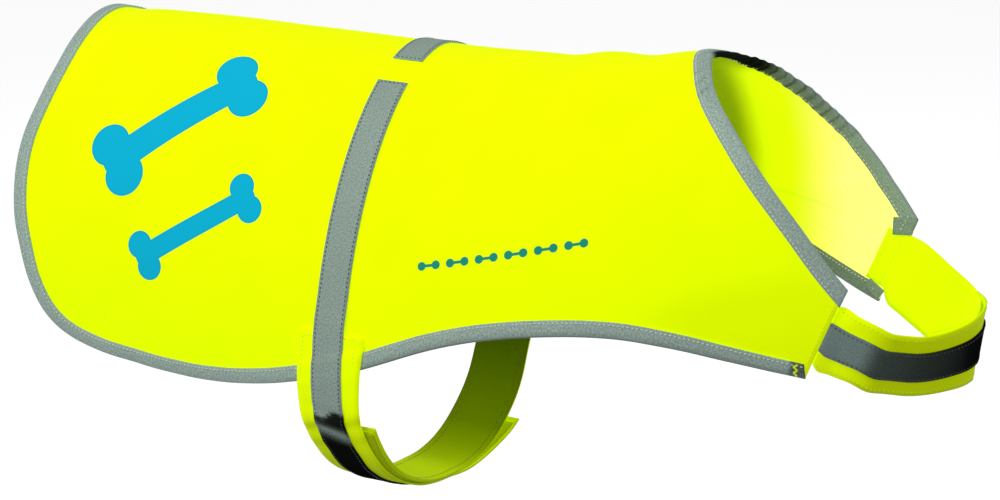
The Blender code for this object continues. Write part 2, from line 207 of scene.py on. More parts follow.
CREASE_BOW = 0.0016  # every crease bends a little along its length
CREASES = (
    # (station, around, heading, length, width, height)
    (214, -30, 62, 22, 5, -0.9),
    (222, -52, 48, 26, 6, 0.9),
    (207, 14, 95, 20, 5, 0.8),
    (196, 34, 120, 24, 5, -0.9),
    (196, 2, 90, 34, 12, -1.8),
    (172, 8, 86, 44, 13, 0.7),
    (146, -6, 100, 46, 14, -1.3),
    (118, 0, 92, 60, 16, 1.5),
    (90, 3, 85, 55, 16, -1.2),
    (40, -150, 76, 60, 12, -0.7),
    (-34, -188, 98, 40, 10, 0.6),
    (32, -196, 60, 30, 9, 0.5),
    (-160, -215, 32, 52, 14, -0.9),
    (-196, -176, 58, 46, 14, 0.8),
    (-208, -60, 84, 44, 13, 1.2),
    (-222, 26, 96, 40, 12, -1.3),
    (238, -150, 22, 54, 12, 0.5),
    (216, -172, 8, 46, 12, -0.4),
    (170, -120, 38, 70, 18, -0.5),
    (232, 118, -38, 60, 5, 1.2),
    (214, 150, -14, 66, 6, -1.4),
    (178, 132, -24, 60, 9, 1.3),
    (242, 158, 3, 48, 2.2, 0.7),
    (250, 176, 10, 30, 2.2, 0.6),
    (30, 158, 100, 56, 10, -1.3),
    (-30, 190, 82, 38, 8, 1.2),
    (-166, 208, -36, 50, 12, -1.5),
    (-200, 170, -56, 48, 12, 1.4),
    (-214, 84, 96, 40, 13, 1.4),
    (-90, 120, 74, 90, 26, -1.6),
    (-96, -116, 100, 86, 26, -1.2),
    (100, 110, 70, 80, 22, 1.4),
)


def crease_height(station, around):
    """How far the creases lift the cloth off the dog here, or let it down."""
    lift = np.zeros(np.broadcast(station, around).shape)
    for centre, across, heading, length, width, height in CREASES:
        turn = math.radians(heading)
        ahead = station - centre
        aside = around - across
        along = ahead * math.cos(turn) + aside * math.sin(turn)
        off = aside * math.cos(turn) - ahead * math.sin(turn)
        bow = off + CREASE_BOW * along**2
        lift = lift + height * np.exp(-((bow / width) ** 2) - (along / length) ** 4)
    return lift


def on_panel(station, around, height):
    """Points over the dog's coat where the cloth is creased, and the directions out there."""
    return on_dog(station, around, height + crease_height(station, around))


def outline_through(rows):
    """The mirrored outline by length from its middle: the place there, moved square to it."""
    rows = np.array([(station, -around) for station, around in rows[:0:-1]] + list(rows), float)
    length = np.concatenate([[0], np.cumsum(np.hypot(*np.diff(rows, axis=0).T))])
    half = length[-1] / 2
    station_at = curve_through(length, rows[:, 0])
    around_at = curve_through(length, rows[:, 1])

    def place(along, inset):
        along = np.asarray(along, float) + half
        run_station = station_at(along + 0.5) - station_at(along - 0.5)
        run_around = around_at(along + 0.5) - around_at(along - 0.5)
        size = np.hypot(run_station, run_around)
        station = station_at(along) + run_around / size * inset
        return station, around_at(along) - run_station / size * inset

    return place, half


hem_place, HEM_HALF = outline_through(HEM)
neck_outline, NECK_HALF = outline_through(NECK)


def neck_place(along, inset):
    return neck_outline(along, -np.asarray(inset))


def panel_edge_front(share):
    """The panel's edge from the neck's middle out to its corner, then down to the hem."""
    corner = NECK_CORNER_ROW / PANEL_ROWS
    neck = np.stack(neck_place(np.minimum(share / corner, 1) * NECK_HALF, EDGE_INSET), -1)
    low = np.stack(hem_place(np.array(HEM_HALF), EDGE_INSET), -1)
    down = np.clip((share - corner) / (1 - corner), 0, 1)[:, None]
    return np.where(share[:, None] <= corner, neck, neck[-1] * (1 - down) + low * down)


def panel_half():
    """(station, around) of the left half's mesh, blended between its four edges."""
    w = np.linspace(0, 1, PANEL_ROWS + 1)
    u = np.linspace(0, 1, PANEL_COLUMNS + 1)
    rear = np.stack(hem_place(w * REAR_CORNER, EDGE_INSET), -1)[:, None]
    hem_length = REAR_CORNER + u * (HEM_HALF - REAR_CORNER)
    hem = np.stack(hem_place(hem_length, EDGE_INSET), -1)[None]
    front = panel_edge_front(w)[:, None]
    w = w[:, None, None]
    u = u[None, :, None]
    spine = rear[:1] * (1 - u) + front[:1] * u
    corners = (1 - w) * spine + w * (rear[-1:] * (1 - u) + front[-1:] * u)
    return rear * (1 - u) + front * u + spine * (1 - w) + hem * w - corners


def set_values(piece, name, values):
    """A number for each point of the sheet, for its finish to read."""
    known = piece.data.attributes
    layer = known.get(name) or known.new(name, "FLOAT", "POINT")
    layer.data.foreach_set("value", np.clip(values, 0, 1).ravel())


def eased(values, start, end):
    share = np.clip((values - start) / (end - start), 0, 1)
    return share * share * (3 - 2 * share)


def piece_of(name, mesh, materials):
    """The mesh as a piece in the scene, shaded smooth."""
    for material in materials:
        mesh.materials.append(material)
    mesh.shade_smooth()
    piece = bpy.data.objects.new(name, mesh)
    bpy.context.scene.collection.objects.link(piece)
    return piece


# Painted shade: cloth that looks down gets little painted glow for its dye, and cloth that
# looks up or sideways gets it all. These are the heights of the direction straight out of it.
LOOKS_DOWN = -0.85
LOOKS_SIDEWAYS = -0.1


def painted_light_by_facing(out):
    return eased(out[..., 2], LOOKS_DOWN, LOOKS_SIDEWAYS)


def sheet_of(name, points, out, cut, wall, materials):
    """A sheet through a net of points, with its flat cut as UV and a wall half to each side.

    A second material goes on the face towards the dog."""
    rows, across = points.shape[:2]
    index = np.arange(rows * across).reshape(rows, across)
    quads = np.stack([index[:-1, :-1], index[1:, :-1], index[1:, 1:], index[:-1, 1:]], -1)
    facing = np.cross(np.diff(points, axis=0)[:, :-1], np.diff(points, axis=1)[:-1])
    if (facing * out[:-1, :-1]).sum() < 0:
        quads = quads[..., ::-1]
    quads = quads.reshape(-1, 4)
    mesh = bpy.data.meshes.new(name)
    mesh.from_pydata((points.reshape(-1, 3) * MM).tolist(), [], quads.tolist())
    layer = mesh.uv_layers.new(name="cut")
    layer.data.foreach_set("uv", (cut.reshape(-1, 2)[quads.reshape(-1)] * MM).ravel())
    piece = piece_of(name, mesh, materials)
    solidify = piece.modifiers.new("wall", "SOLIDIFY")
    solidify.thickness = wall * MM
    solidify.offset = 0.0
    solidify.use_quality_normals = True
    if len(materials) > 1:
        solidify.material_offset = 1
    # The painted light level for the finishes' glow: painted shade on cloth that looks down.
    set_values(piece, "painted_light_level", painted_light_by_facing(out))
    return piece


class Finish:
    """A finish built up as a chain of shader nodes."""

    def __init__(self, name, colour, roughness):
        self.material = bpy.data.materials.new(name)
        self.material.use_nodes = True
        self.tree = self.material.node_tree
        self.shader = self.tree.nodes["Principled BSDF"]
        self.give("Base Color", colour)
        self.give("Roughness", roughness)
        # The UV of a sheet is its flat cut, in metres: the station, and the distance around.
        cut = self.add("ShaderNodeUVMap")
        cut.uv_map = "cut"
        split = self.add("ShaderNodeSeparateXYZ", cut.outputs["UV"])
        self.cut = cut.outputs["UV"]
        self.station, self.around = split.outputs["X"], split.outputs["Y"]

    def add(self, kind, *inputs, **settings):
        node = self.tree.nodes.new(kind)
        for name, value in settings.items():
            setattr(node, name, value)
        for socket, value in zip(node.inputs, inputs):
            self.feed(socket, value)
        return node

    def feed(self, socket, value):
        """A value, or the output of another node, for one input of a node."""
        if isinstance(value, bpy.types.NodeSocket):
            self.tree.links.new(value, socket)
        else:
            socket.default_value = value

    def give(self, name, value):
        """A colour, a number, or the output of a node, for the finish's own shader."""
        colour = isinstance(value, tuple)
        self.feed(self.shader.inputs[name], (*value, 1) if colour else value)

    def carried(self, name):
        """The number that each point of the sheet carries under this name."""
        return self.add("ShaderNodeAttribute", attribute_name=name).outputs["Fac"]

    def maths(self, operation, *inputs):
        return self.add("ShaderNodeMath", *inputs, operation=operation).outputs[0]

    def noise(self, scale, detail):
        node = self.add("ShaderNodeTexNoise")
        self.feed(node.inputs["Vector"], self.cut)
        node.inputs["Scale"].default_value = scale
        node.inputs["Detail"].default_value = detail
        return node.outputs["Fac"]

    def mix(self, share, first, second):
        """A colour between two colours."""
        node = self.add("ShaderNodeMix", data_type="RGBA")
        self.feed(node.inputs["Factor"], share)
        for socket, value in zip([s for s in node.inputs if s.type == "RGBA"], (first, second)):
            self.feed(socket, value if isinstance(value, bpy.types.NodeSocket) else (*value, 1))
        return [s for s in node.outputs if s.type == "RGBA"][0]

    def range(self, value, low, high, to_low=0.0, to_high=1.0):
        """The value carried over from one range to another, and kept within it."""
        return self.add("ShaderNodeMapRange", value, low, high, to_low, to_high).outputs[0]

    def weave(self, pitch, depth, strength, grain):
        """Threads over and under each other, at this pitch in millimetres, under a grain."""
        turns = math.pi / (pitch * MM)
        warp, weft = (
            self.maths("ABSOLUTE", self.maths("SINE", self.maths("MULTIPLY", way, turns)))
            for way in (self.station, self.around)
        )
        height = self.maths("MULTIPLY", self.maths("ADD", warp, weft), depth * MM)
        bump = self.add("ShaderNodeBump")
        bump.inputs["Strength"].default_value = strength
        bump.inputs["Distance"].default_value = 1.0
        self.feed(bump.inputs["Height"], self.maths("ADD", height, grain))
        self.give("Normal", bump.outputs[0])


FLUORESCENT = (0.77, 1.0, 0.0)
FLUORESCENT_SHADE = (0.715, 0.94, 0.0)
PAINTED_GLOW = 0.55  # painted glow, for the dye that gives back as yellow the blue light falling on it
LEAST_PAINTED_GLOW = 0.3  # of that, on cloth that looks down: painted shade
SLUB = 0.00005  # the height of the uneven threads, in metres
PRINT_BLUE = (0.0, 0.43, 0.64)
PRINT_EDGE = (0.0, 0.34, 0.46)
BONES = (
    # (start, end, half width of the shaft, radius of the knobs, how far they are apart)
    ((-166, 122), (-98, 62), 10.0, 13.5, 11.5),
    ((-134, 178), (-70, 134), 6.5, 8.5, 7.5),
)
TRIM_START = (54, 157)  # of the small printed row between the belly strap and the front
TRIM_END = (150, 135)
TRIM_PAIRS = 6
TRIM_DOT = 2.6
TRIM_BAR = 0.9
TRIM_GREEN = (0.02, 0.33, 0.20)
# The painted glow of the ink, on the bones and on the trim.
PRINT_GLOW = (0.0, 0.28, 0.44)
TRIM_GLOW = (0.0, 0.12, 0.10)


def dyed_cloth(name):
    """Woven fluorescent cloth, and its faintly uneven colour for the finish to build on."""
    cloth = Finish(name, FLUORESCENT, roughness=0.82)
    mottle = cloth.range(cloth.noise(22.0, 4.0), 0.35, 0.65)
    cloth.give("Emission Color", FLUORESCENT)
    cloth.give("Specular IOR Level", 0.12)
    cloth.give("Specular Tint", FLUORESCENT)
    cloth.give("Sheen Weight", 0.10)
    cloth.give("Sheen Tint", FLUORESCENT)
    slub = cloth.maths("MULTIPLY", cloth.noise(420.0, 3.0), SLUB)
    cloth.weave(pitch=0.55, depth=0.03, strength=0.35, grain=slub)
    return cloth, cloth.mix(mottle, FLUORESCENT_SHADE, FLUORESCENT)


def give_painted_glow(cloth):
    """Painted glow on the cloth's outer face, weaker where its painted light level is lower."""
    painted_light_level = cloth.carried("painted_light_level")
    cloth.give("Emission Strength", cloth.range(painted_light_level, 0, 1, PAINTED_GLOW * LEAST_PAINTED_GLOW, PAINTED_GLOW))


def seen_from(cloth, place):
    """How far ahead of a place, and how far aside, each point of the cloth is. The print is
    the same on both flanks.
    """
    flank = cloth.maths("ABSOLUTE", cloth.around)
    ahead = cloth.maths("SUBTRACT", cloth.station, place[0] * MM)
    return ahead, cloth.maths("SUBTRACT", flank, place[1] * MM)


def past_radius(cloth, ahead, aside, radius):
    square = cloth.maths("ADD", cloth.maths("POWER", ahead, 2.0), cloth.maths("POWER", aside, 2.0))
    return cloth.maths("SUBTRACT", cloth.maths("SQRT", square), radius * MM)


def circle(cloth, centre, radius):
    """How far each point of the cloth is from a circle printed on it. Inside, it is minus."""
    return past_radius(cloth, *seen_from(cloth, centre), radius)


def bar(cloth, start, end, radius):
    """How far each point is from a bar with round ends."""
    run = np.array(end) * MM - np.array(start) * MM
    ahead, aside = seen_from(cloth, start)
    share = cloth.maths(
        "ADD",
        cloth.maths("MULTIPLY", ahead, run[0] / (run @ run)),
        cloth.maths("MULTIPLY", aside, run[1] / (run @ run)),
    )
    share = cloth.range(share, 0.0, 1.0)
    ahead = cloth.maths("SUBTRACT", ahead, cloth.maths("MULTIPLY", share, run[0]))
    aside = cloth.maths("SUBTRACT", aside, cloth.maths("MULTIPLY", share, run[1]))
    return past_radius(cloth, ahead, aside, radius)


def nearest_of(cloth, shapes):
    """How far each point is from the nearest of the shapes."""
    nearest = shapes[0]
    for shape in shapes[1:]:
        nearest = cloth.maths("MINIMUM", nearest, shape)
    return nearest


def bone_print(cloth):
    """Two plain bones, a large one over a small one."""
    shapes = []
    for start, end, shaft, knob, spread in BONES:
        run = np.subtract(end, start) / math.dist(start, end)
        aside = np.array([-run[1], run[0]])
        shapes.append(bar(cloth, start, end, shaft))
        for knuckle in (start, end):
            for side in (-spread, spread):
                shapes.append(circle(cloth, knuckle + aside * side, knob))
    return nearest_of(cloth, shapes)


def trim_print(cloth):
    """A row of small dots joined in pairs by short bars."""
    places = np.linspace(TRIM_START, TRIM_END, 2 * TRIM_PAIRS)
    shapes = [circle(cloth, place, TRIM_DOT) for place in places]
    for first, second in zip(places[::2], places[1::2]):
        shapes.append(bar(cloth, first, second, TRIM_BAR))
    return nearest_of(cloth, shapes)


INK_EDGE = 0.2 * MM  # half the width over which the ink gives way to bare cloth
RIM = (-1.2 * MM, -0.6 * MM)  # inside the bones' edges, where the ink lies darker
printed, printed_colour = dyed_cloth("printed_fluorescent_cloth")
give_painted_glow(printed)
from_bones = bone_print(printed)
from_trim = trim_print(printed)
bone_ink = printed.mix(printed.range(from_bones, *RIM), PRINT_BLUE, PRINT_EDGE)
glow_colour = FLUORESCENT
for distance, ink, ink_glow in (
    (from_bones, bone_ink, PRINT_GLOW),
    (from_trim, TRIM_GREEN, TRIM_GLOW),
):
    inked = printed.range(distance, -INK_EDGE, INK_EDGE, 1.0, 0.0)
    printed_colour = printed.mix(inked, printed_colour, ink)
    glow_colour = printed.mix(inked, glow_colour, ink_glow)
printed.give("Base Color", printed_colour)
printed.give("Emission Color", glow_colour)

plain, plain_colour = dyed_cloth("fluorescent_cloth")
plain.give("Base Color", plain_colour)
give_painted_glow(plain)

# The reverse has less painted glow. Pale painted light stands for the light that comes through
# the cloth where it is bright behind it.
REVERSE_GLOW = 0.06
LET_THROUGH = 0.80
PALE = (1.0, 1.0, 0.22)
PAINTED_FOLD_SHADE = (((196, 155.5), (288, 160)), ((228, 171.5), (272, 179.5)))  # painted shade along two fold creases
FOLD_MARK = 0.3
FOLD_MARK_EDGE = 1.4 * MM
FOLD_MARK_SHINE = 0.86
reverse, reverse_colour = dyed_cloth("cloth_reverse")
painted_light_through = reverse.carried("painted_light_through")
painted_light_pale = reverse.range(painted_light_through, 0.5, 1.0)
reverse.give("Base Color", reverse.mix(painted_light_pale, reverse_colour, PALE))
reverse.give("Emission Color", reverse.mix(painted_light_pale, FLUORESCENT, PALE))
shines = reverse.range(painted_light_through, 0.0, 0.5, REVERSE_GLOW, LET_THROUGH)
# Painted shade: less glow along the fold creases.
from_fold_shade = nearest_of(reverse, [bar(reverse, *ends, FOLD_MARK) for ends in PAINTED_FOLD_SHADE])
fold_shaded = reverse.range(from_fold_shade, 0.0, FOLD_MARK_EDGE, FOLD_MARK_SHINE, 1.0)
reverse.give("Emission Strength", reverse.maths("MULTIPLY", shines, fold_shaded))

half = panel_half()
mirrored_half = half[:0:-1] * np.array([1, -1])
panel_cut = np.concatenate([mirrored_half, half])
panel_station, panel_around = panel_cut[..., 0], panel_cut[..., 1]
back_panel = sheet_of(
    "back_panel_cloth",
    *on_panel(panel_station, panel_around, CLOTH_WALL / 2),
    panel_cut,
    CLOTH_WALL,
    [printed.material, reverse.material],
)
# Painted light through the cloth at the shoulders, in two steps towards the neck, and not on the
# ridge.
ahead = 0.5 * eased(panel_station, 170, 194) + 0.5 * eased(panel_station, 206, 252)
set_values(back_panel, "painted_light_through", ahead * eased(np.abs(panel_around), 34, 62))
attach(back_panel, "root")
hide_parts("back_panel")

# ---------------------------------------------------------------------------------------
# Edge bindings: a 20 mm grey reflective tape folded over the raw edge and sewn through, one
# length round the neck and one along the hem and round the rear.
# ---------------------------------------------------------------------------------------
TAPE_WALL = 1.0
GAP = 0.3
BINDING_WIDTH = 10.0
BINDING_STEP = 1.4  # of its mesh, along the edge
ACROSS_STEP = 1.6  # of its flat cut, from one leg's edge round to the other's
SEAM_INSET = 8.4  # of the row of stitches, from the fold
BINDING_GREY = (0.44, 0.58, 0.475)
PAINTED_BEAD_GLOW = (0.34, 0.44, 0.50)  # painted glow: a little cool light sent straight back by the beads
# the colour that the painted shade on the binding goes to
BINDING_DARK = (0.010, 0.014, 0.012)
BEAD_HEIGHT = 0.00006  # in metres
BEAD_LESS = 0.7  # with this much painted shade, the tape has lost the shine and glow of its beads


def times(colour, share):
    return tuple(channel * share for channel in colour)


def grey_tape(name, colour, dark):
    """Glass beads on a grey ground, with painted glow, and darker where shade is painted on it."""
    tape = Finish(name, colour, roughness=0.6)
    grain = tape.range(tape.noise(1100.0, 2.0), 0.38, 0.62)
    patches = tape.range(tape.noise(60.0, 3.0), 0.3, 0.7)
    deep = times(colour, 0.62)
    shade = tape.mix(grain, deep, times(colour, 1.12))
    shade = tape.mix(tape.maths("MULTIPLY", patches, 0.25), shade, deep)
    painted_shade = tape.carried("painted_shade")
    tape.give("Base Color", tape.mix(painted_shade, shade, dark))
    tape.give("Metallic", tape.range(painted_shade, 0.0, BEAD_LESS, 0.1, 0.0))
    tape.give("Specular IOR Level", tape.range(painted_shade, 0.0, 0.95, 0.25, 0.0))
    tape.give("Emission Color", PAINTED_BEAD_GLOW)
    tape.give("Emission Strength", tape.range(painted_shade, 0.0, BEAD_LESS, 0.13, 0.0))
    beads = tape.maths("MULTIPLY", tape.noise(1500.0, 1.0), BEAD_HEIGHT)
    tape.weave(pitch=0.8, depth=0.02, strength=0.3, grain=beads)
    return tape.material


binding_tape = grey_tape("grey_binding_tape", BINDING_GREY, BINDING_DARK)


def binding_profile():
    """(in from the fold, height) down the outer leg, round the fold, up the inner leg."""
    top = CLOTH_WALL + GAP + TAPE_WALL / 2
    bottom = -GAP - TAPE_WALL / 2
    turn = np.radians(np.linspace(90, -90, 7))
    middle = (top + bottom) / 2
    radius = (top - bottom) / 2
    fold_in = TAPE_WALL / 2 + radius * 0.8 * (1 - np.cos(turn))  # a little flatter than round
    fold_high = middle + radius * np.sin(turn)
    legs = np.array([BINDING_WIDTH, SEAM_INSET + 0.2, 7.0, 4.5])
    dip = np.array([0.1, -0.25, 0.1, 0.12])  # the tape is drawn down along its seam
    inset = np.concatenate([legs, fold_in, legs[::-1]])
    height = np.concatenate([top + dip, fold_high, np.full(4, bottom) - dip[::-1] * 0.5])
    return inset, height


def binding_of(name, place, half_length, splay, pucker, painted_shade_at):
    """A folded tape along an edge. Its ends are cut along the panel's front edges, so the
    legs run on past the fold by this share of their width. It puckers in the middle of them.
    """
    inset, height = binding_profile()
    share = np.linspace(-1, 1, int(2 * half_length / BINDING_STEP))[:, None]
    lengths = share * (half_length + splay * inset * np.abs(share) ** 12)
    station, around = place(lengths, inset[None])
    wave = pucker(lengths, inset[None]) * np.exp(-((inset[None] - 5) ** 2) / 60)
    points, out = on_panel(station, around, height + wave)
    across = np.broadcast_to(np.arange(len(inset)) * ACROSS_STEP, station.shape)
    cut = np.stack([lengths, across], -1)
    piece = sheet_of(name, points, out, cut, TAPE_WALL, [binding_tape])
    past_fold = eased(across, 4.5, 8)
    set_values(piece, "painted_shade", painted_shade_at(lengths, inset[None], past_fold))
    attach(piece, "root")
    return piece


def tight_waves(length):
    return np.sin(length / 1.15 + 0.9 * np.sin(length / 8.0))


def hump(away, reach):
    """One in the middle, and nothing much past its reach."""
    return np.exp(-((away / reach) ** 4))


def slanting_creases(length, inset):
    near = hump(length + 32, 14)
    return near * np.maximum(np.sin((length + 0.7 * inset) / 1.5), 0) ** 5


def neck_pucker(length, inset):
    """The tape is eased round the tightest part of the neck, so it puckers: in close waves on
    the left, and in a few slanting creases on the right."""
    left = hump(length - 66, 52)
    waves = left * (0.42 * tight_waves(length) + 0.35 * np.sin(length / 4.1))
    return waves - 0.7 * slanting_creases(length, inset)


def neck_painted_shade(length, inset, inside):
    """Painted shade on the inner leg under the ridge, in pucker troughs and in outer leg creases.
    """
    under_ridge = 0.98 - 0.68 * eased(length, 44, 64) - 0.22 * eased(length, 70, 140)
    pucker_shade = 0.4 * np.maximum(-tight_waves(length), 0) ** 3 * hump(length - 84, 40)
    creased = (1 - inside) * 0.4 * slanting_creases(length, inset)
    return inside * (eased(length, -4, 4) * under_ridge + pucker_shade) + creased


def hem_painted_shade(length, inset, inside):
    """Painted shade at the ends of the hem binding: outside next to the straps, and inside."""
    at_ends = 0.6 * eased(np.abs(length), HEM_HALF - 9.8, HEM_HALF - 8.8)
    return (1 - inside) * at_ends + inside * 0.3 * eased(np.abs(length), 400, 440)


def hem_pucker(length, inset):
    return 0.22 * np.sin(length / 5.5) * np.sin(length / 37.0 + 0.4)


NECK_SPLAY = 0.53  # at the corners, how far the legs run on past the fold
HEM_SPLAY = -0.20
neck_binding = binding_of(
    "neck_edge_binding", neck_place, NECK_HALF, NECK_SPLAY, neck_pucker, neck_painted_shade
)
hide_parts("neck_binding")
hem_binding = binding_of(
    "hem_edge_binding", hem_place, HEM_HALF, HEM_SPLAY, hem_pucker, hem_painted_shade
)
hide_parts("hem_binding")

STITCH = (2.7, 1.7, 0.7)  # the pitch, the length and the thickness of the thread
STITCH_RINGS = ((-1, 0.25), (-0.75, 0.85), (0, 1.0), (0.75, 0.85), (1, 0.25))
STITCH_SIDES = 5
SINK = 0.55  # of its thickness, for the ends of a stitch
ON_TOP = 0.05  # the middle of the thread lies this far above what it sews
PALE_ON_TOP = 0.1


def row_of_stitches(points, out, pitch, length, thickness):
    """The corners of each stitch along a line over the cloth, as rings round its thread."""
    run = np.linalg.norm(np.diff(points, axis=0), axis=1)
    along = np.concatenate([[0], np.cumsum(run)])
    count = max(int(along[-1] / pitch), 1)
    places = (np.arange(count) + 0.5) * along[-1] / count

    def at(values, where):
        return np.stack([np.interp(where, along, values[:, k]) for k in range(3)], -1)

    middle = at(points, places)
    near = 0.4
    ahead = at(points, places + near) - at(points, places - near)
    ahead /= np.linalg.norm(ahead, axis=1, keepdims=True)
    up = at(out, places)
    up /= np.linalg.norm(up, axis=1, keepdims=True)
    aside = np.cross(up, ahead)
    corners = []
    for share, size in STITCH_RINGS:
        sink = thickness * SINK * abs(share) ** 3
        for turn in np.radians(np.arange(0, 360, 360 // STITCH_SIDES)):
            side = math.cos(turn) * size * thickness / 2
            rise = math.sin(turn) * size * thickness / 2 - sink
            corners.append(middle + ahead * share * length / 2 + aside * side + up * rise)
    return np.stack(corners, 1)


def stitch_faces():
    """One stitch: a band of faces from each ring of its thread to the next, and two ends."""
    faces = []
    last_ring = STITCH_SIDES * (len(STITCH_RINGS) - 1)
    for ring in range(0, last_ring, STITCH_SIDES):
        for k in range(STITCH_SIDES):
            a = ring + k
            b = ring + (k + 1) % STITCH_SIDES
            faces.append((a, b, b + STITCH_SIDES, a + STITCH_SIDES))
    faces.append(tuple(reversed(range(STITCH_SIDES))))
    faces.append(tuple(range(last_ring, last_ring + STITCH_SIDES)))
    return faces


def stitched(points, out, way=1, stitch=STITCH):
    """A row for sewn: a line, the way that the thread stands out of it, and its stitches."""
    return points, out * way, *stitch


def sewn(name, rows, material):
    """All the stitches of a kind as one piece."""
    corners = np.concatenate([row_of_stitches(*row) for row in rows])
    each = corners.shape[1]
    mesh = bpy.data.meshes.new(name)
    faces = [
        tuple(stitch * each + corner for corner in face)
        for stitch in range(len(corners))
        for face in stitch_faces()
    ]
    mesh.from_pydata((corners.reshape(-1, 3) * MM).tolist(), [], faces)
    piece = piece_of(name, mesh, [material])
    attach(piece, "root")
    return piece


def thread(name, colour, glow=0.0):
    """A twisted thread, finely lighter and darker along it."""
    finish = Finish(name, colour, roughness=0.55)
    # Painted glow, where a thread is given one.
    finish.give("Emission Color", colour)
    finish.give("Emission Strength", glow)
    finish.give("Sheen Weight", 0.2)
    twist = finish.add("ShaderNodeTexNoise")
    twist.inputs["Scale"].default_value = 2400.0
    place = finish.add("ShaderNodeTexCoord")
    finish.feed(twist.inputs["Vector"], place.outputs["Object"])
    finish.give("Base Color", finish.mix(twist.outputs["Fac"], times(colour, 0.6), colour))
    return finish.material


# The pale and yellow threads glow as painted light; the olive one is yellow thread in painted
# shade.
pale_thread = thread("pale_grey_thread", (0.86, 0.92, 0.84), glow=0.15)
dark_thread = thread("dark_thread", (0.045, 0.06, 0.05))
yellow_thread = thread("yellow_thread", (0.77, 0.98, 0.0), glow=0.26)
yellow_thread_painted_shade = thread("yellow_thread_painted_shade", (0.24, 0.34, 0.0))

outer_leg = CLOTH_WALL + GAP + TAPE_WALL + PALE_ON_TOP
inner_leg = -GAP - TAPE_WALL - PALE_ON_TOP
SHORT = 2  # of the tape's own ends
binding_rows = []
for place, half_length in ((neck_place, NECK_HALF), (hem_place, HEM_HALF)):
    reach = half_length - SHORT
    lengths = np.linspace(-reach, reach, int(2 * reach) + 2)
    for height, way in ((outer_leg, 1), (inner_leg, -1)):
        seam = on_panel(*place(lengths, SEAM_INSET), height)
        binding_rows.append(stitched(*seam, way))

# The tapes' ends are turned in over the panel's inner face and held by a slanting row.
RIGHT_TURNED_BACK = 4  # the right ends are turned in a little further
TURNED_PLAN = 700  # each kind of piece has its own stretch of the plan that finishes read
TURNED_POINTS = 9  # of the mesh, each way
# painted shade on the turned ends, inside the panel
TURNED_PAINTED_SHADE = 0.22
TURNED_ENDS = {
    # the turned end's corners, then the ends of its row of stitches, as (station, around)
    "neck": (((281.2, 147.2), (280.9, 158.6), (294.0, 154.6), (297.0, 143.4)),
             ((291.5, 142.4), (286.0, 154.6))),
    "hem": (((265.6, 196.6), (268.6, 190.8), (278.8, 195.0), (274.6, 202.4)),
            ((272.5, 193.9), (269.8, 198.9))),
}
for edge, (corners, seam) in TURNED_ENDS.items():
    for side, way in (("right", -1), ("left", 1)):
        corners_here = np.array(corners) * (1, way)
        if side == "right":
            corners_here[2:, 0] -= RIGHT_TURNED_BACK
        first, second, third, last = corners_here[:, None, None]
        u = np.linspace(0, 1, TURNED_POINTS)[:, None, None]
        v = np.linspace(0, 1, TURNED_POINTS)[None, :, None]
        place = (first * (1 - u) + last * u) * (1 - v) + (second * (1 - u) + third * u) * v
        turned = sheet_of(
            side + "_" + edge + "_turned_end",
            *on_panel(place[..., 0], place[..., 1], inner_leg - GAP - TAPE_WALL / 2),
            place + TURNED_PLAN,
            TAPE_WALL,
            [binding_tape],
        )
        set_values(turned, "painted_shade", np.full(place.shape[:2], TURNED_PAINTED_SHADE))
        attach(turned, "root")
        start, end = (np.array(seam_end) * (1, way) for seam_end in seam)
        under = inner_leg - GAP - TAPE_WALL - PALE_ON_TOP
        binding_rows.append(stitched(*on_panel(*np.linspace(start, end, 16).T, under), -1))

# A short row across the tape holds each front end of the neck binding.
END_ROW_BACK = 9
END_ROW = np.linspace(1.5, 7.5, 12)  # in from the fold
for along in (-NECK_HALF + END_ROW_BACK, NECK_HALF - END_ROW_BACK):
    place = neck_place(np.full(len(END_ROW), along), END_ROW)
    binding_rows.append(stitched(*on_panel(*place, outer_leg)))
binding_stitches = sewn("binding_stitches", binding_rows, pale_thread)

# ---------------------------------------------------------------------------------------
# Belly straps: two 40 mm straps of the same cloth, sewn over the hem with a box of stitches.
# The right one laps over the left one under the belly and closes on it with hook and loop.
# ---------------------------------------------------------------------------------------
# The way of the loop, by distance from the spine round the dog's right side: its height over
# the coat there, and how far forward each strap runs.
LOOP_COLUMNS = ("around", "bulge", "right_shift", "left_shift")
LOOP = (
    (200, 2.8, 0, 6),
    (231, 2.8, 0, 6),
    (264, -3, 0, 7),
    (300, -6.5, 2.5, 8),
    (340, -8, 2.5, 8),
    (380, -3.5, 0, 5),
    (421, 5.5, -3, 0),
    (447, 12, -3.5, -3),
    (472, 11, 1.5, -1),
    (492, 2, 10, 3),
    (512, -8, 10, 6),
    (532, -16, 10, 7),
    (552, -17, 10, 6.5),
    (580, -9, 10, 3),
    (608, 2.8, 10, 0),
    (642, 2.8, 10, 0),
)
STRAP_WIDTH = 40.0
HALF_STRAP = STRAP_WIDTH / 2
STRAP_STEP = 2.2  # of its mesh, along the strap
STRAP_COLUMNS = 13
STRAP_PLAN = 600
STRAP_TOP = 204.0  # from the spine, down the strap's own side
STRAP_ENDS = {"right": 491.0, "left": 578.0}
STRAP_LIFT = 3.7  # of the right strap, to pass over the left one and the patches
LIFT_REACH = (236.0, 260.0)  # from the spine, where it climbs to that
GIRTH = 2 * section_across(0.0)[2][-1]  # round the dog, at the straps
FLARE = 3.4
FLARE_AT = 212
FLARE_REACH = 24
LEFT_END_SHADE = 0.75
LEFT_END_REACH = (460, 530)
SHADED_CREASES = (
    # (own distance, width, how dark), on the outer face of the right strap
    (262, 3.2, 0.75),
    (277, 4.0, 0.45),
)
